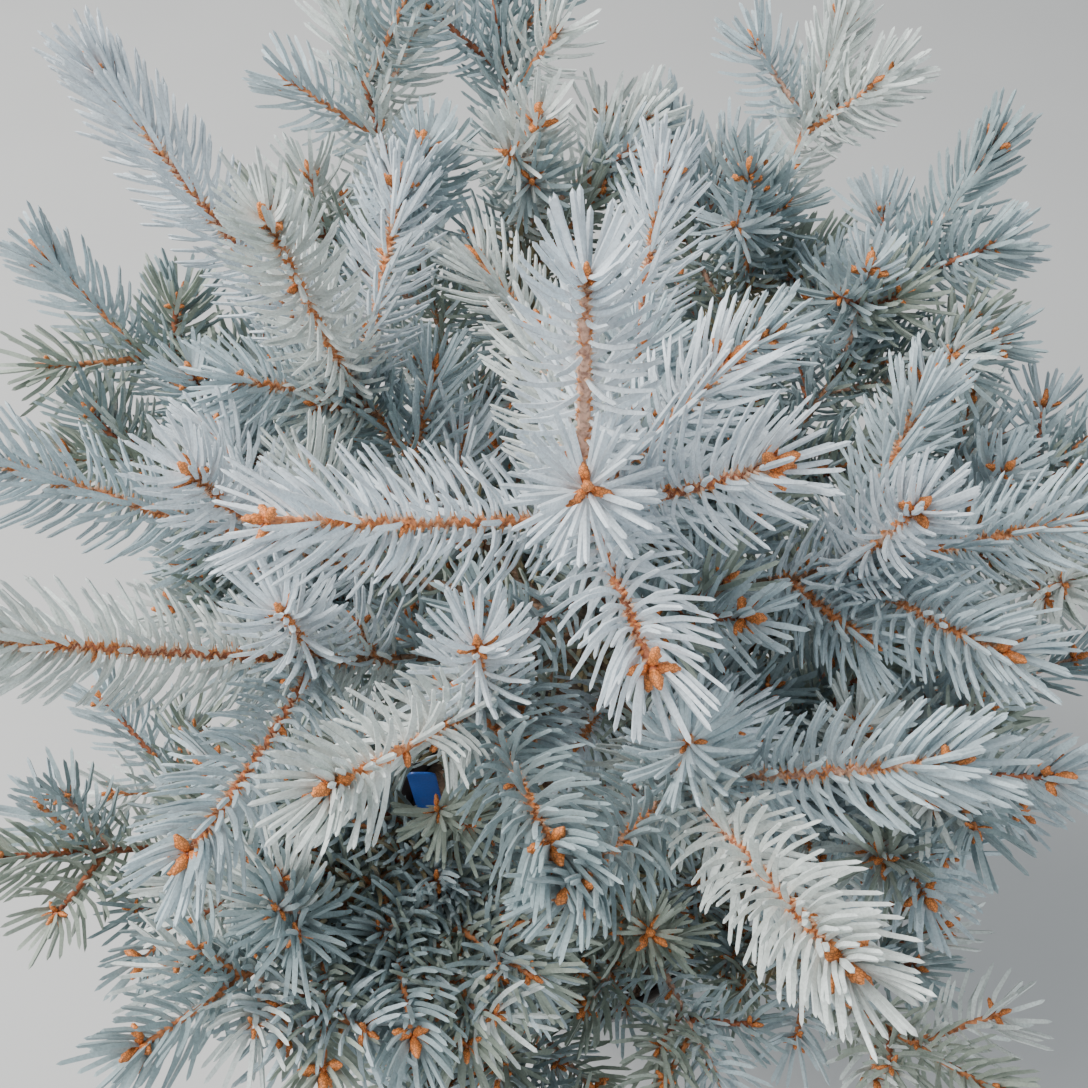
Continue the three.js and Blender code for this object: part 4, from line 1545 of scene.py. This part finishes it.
class SPRUCE_OT_buds(bpy.types.Operator):
    """Add a cluster of buds at the tip of each shoot"""

    bl_idname = "spruce.add_buds"
    bl_label = "Add Buds"

    def execute(self, context):
        sizes = context.scene.spruce_sizes
        chance = Chance(SEED)
        material = bud_finish("bud_scales", context.scene.spruce_colours.bud)
        clusters = [
            bud_cluster(sprig, chance, sizes.bud_length / MM, sizes.bud_radius / MM)
            for sprig in plant()[1]
            if sprig.tip
        ]
        add_piece("buds", joined(clusters), material)
        return {"FINISHED"}


class SPRUCE_OT_stage(bpy.types.Operator):
    """Add the floor, the lights and the camera"""

    bl_idname = "spruce.add_stage"
    bl_label = "Add Stage"

    def execute(self, context):
        stage = context.scene.spruce_stage
        collection = context.scene.collection
        mesh = bpy.data.meshes.new("floor")
        corners = [(x * FLOOR_HALF, y * FLOOR_HALF, 0) for x, y in ((-1, -1), (1, -1), (1, 1), (-1, 1))]
        mesh.from_pydata(corners, [], [(0, 1, 2, 3)])
        finish = Finish("pale_floor", 0.8)
        finish.colour(finish.shades(finish.grain(6), stage.floor, (0.3, 0.97), (0.7, 1)))
        mesh.materials.append(finish.material)
        floor = bpy.data.objects.new("floor", mesh)
        collection.objects.link(floor)
        world = bpy.data.worlds.new("soft_sky")
        world.use_nodes = True
        sky = world.node_tree.nodes["Background"]
        sky.inputs["Color"].default_value = (*SKY_COLOUR, 1)
        sky.inputs["Strength"].default_value = stage.sky
        context.scene.world = world
        lights = [
            ("key", KEY_PLACE, KEY_SIZE, stage.key, KEY_COLOUR),
            ("fill", FILL_PLACE, FILL_SIZE, stage.key * FILL_SHARE, FILL_COLOUR),
        ]
        for name, place, size, power, colour in lights:
            data = bpy.data.lights.new(name, "AREA")
            data.size = size
            data.energy = power
            data.color = colour
            light = bpy.data.objects.new(name, data)
            light.location = place
            aim = Vector(LIGHT_AIM) - Vector(place)
            light.rotation_euler = aim.to_track_quat("-Z", "Y").to_euler()
            collection.objects.link(light)
        data = bpy.data.cameras.new("camera")
        data.sensor_width = SENSOR_WIDTH
        data.lens = data.sensor_width / 2 / math.tan(stage.field_of_view / 2)
        data.clip_start = CLIP_START
        data.dof.use_dof = False
        camera = bpy.data.objects.new("camera", data)
        camera.location = stage.camera_place
        camera.rotation_euler = (stage.camera_tilt, 0, 0)
        collection.objects.link(camera)
        context.scene.camera = camera
        return {"FINISHED"}


OPERATORS = (
    SPRUCE_OT_stage,
    SPRUCE_OT_pot,
    SPRUCE_OT_soil,
    SPRUCE_OT_label,
    SPRUCE_OT_trunk,
    SPRUCE_OT_boughs,
    SPRUCE_OT_twigs,
    SPRUCE_OT_needles,
    SPRUCE_OT_buds,
)


class SPRUCE_PT_panel(bpy.types.Panel):
    """Lists the steps that build the spruce, and its sizes and colours"""

    bl_idname = "SPRUCE_PT_panel"
    bl_label = "Potted Blue Spruce"
    bl_space_type = "VIEW_3D"
    bl_region_type = "UI"
    bl_category = "Spruce"

    def draw(self, context):
        for operator in OPERATORS:
            self.layout.operator(operator.bl_idname)
        for setting, group in SETTINGS.items():
            box = self.layout.box()
            for name in group.__annotations__:
                box.prop(getattr(context.scene, setting), name)


SETTINGS = {"spruce_sizes": SpruceSizes, "spruce_colours": SpruceColours, "spruce_stage": SpruceStage}
CLASSES = (*SETTINGS.values(), *OPERATORS, SPRUCE_PT_panel)


def register():
    for item in CLASSES:
        bpy.utils.register_class(item)
    for setting, group in SETTINGS.items():
        setattr(bpy.types.Scene, setting, bpy.props.PointerProperty(type=group))


def unregister():
    for setting in SETTINGS:
        delattr(bpy.types.Scene, setting)
    for item in reversed(CLASSES):
        bpy.utils.unregister_class(item)


def main():
    register()
    bpy.ops.spruce.add_stage()
    bpy.ops.spruce.add_pot()
    bpy.ops.spruce.add_soil()
    bpy.ops.spruce.add_label()
    bpy.ops.spruce.add_trunk()
    bpy.ops.spruce.add_boughs()
    bpy.ops.spruce.add_twigs()
    bpy.ops.spruce.add_needles()
    bpy.ops.spruce.add_buds()


if __name__ == "__main__":
    main()
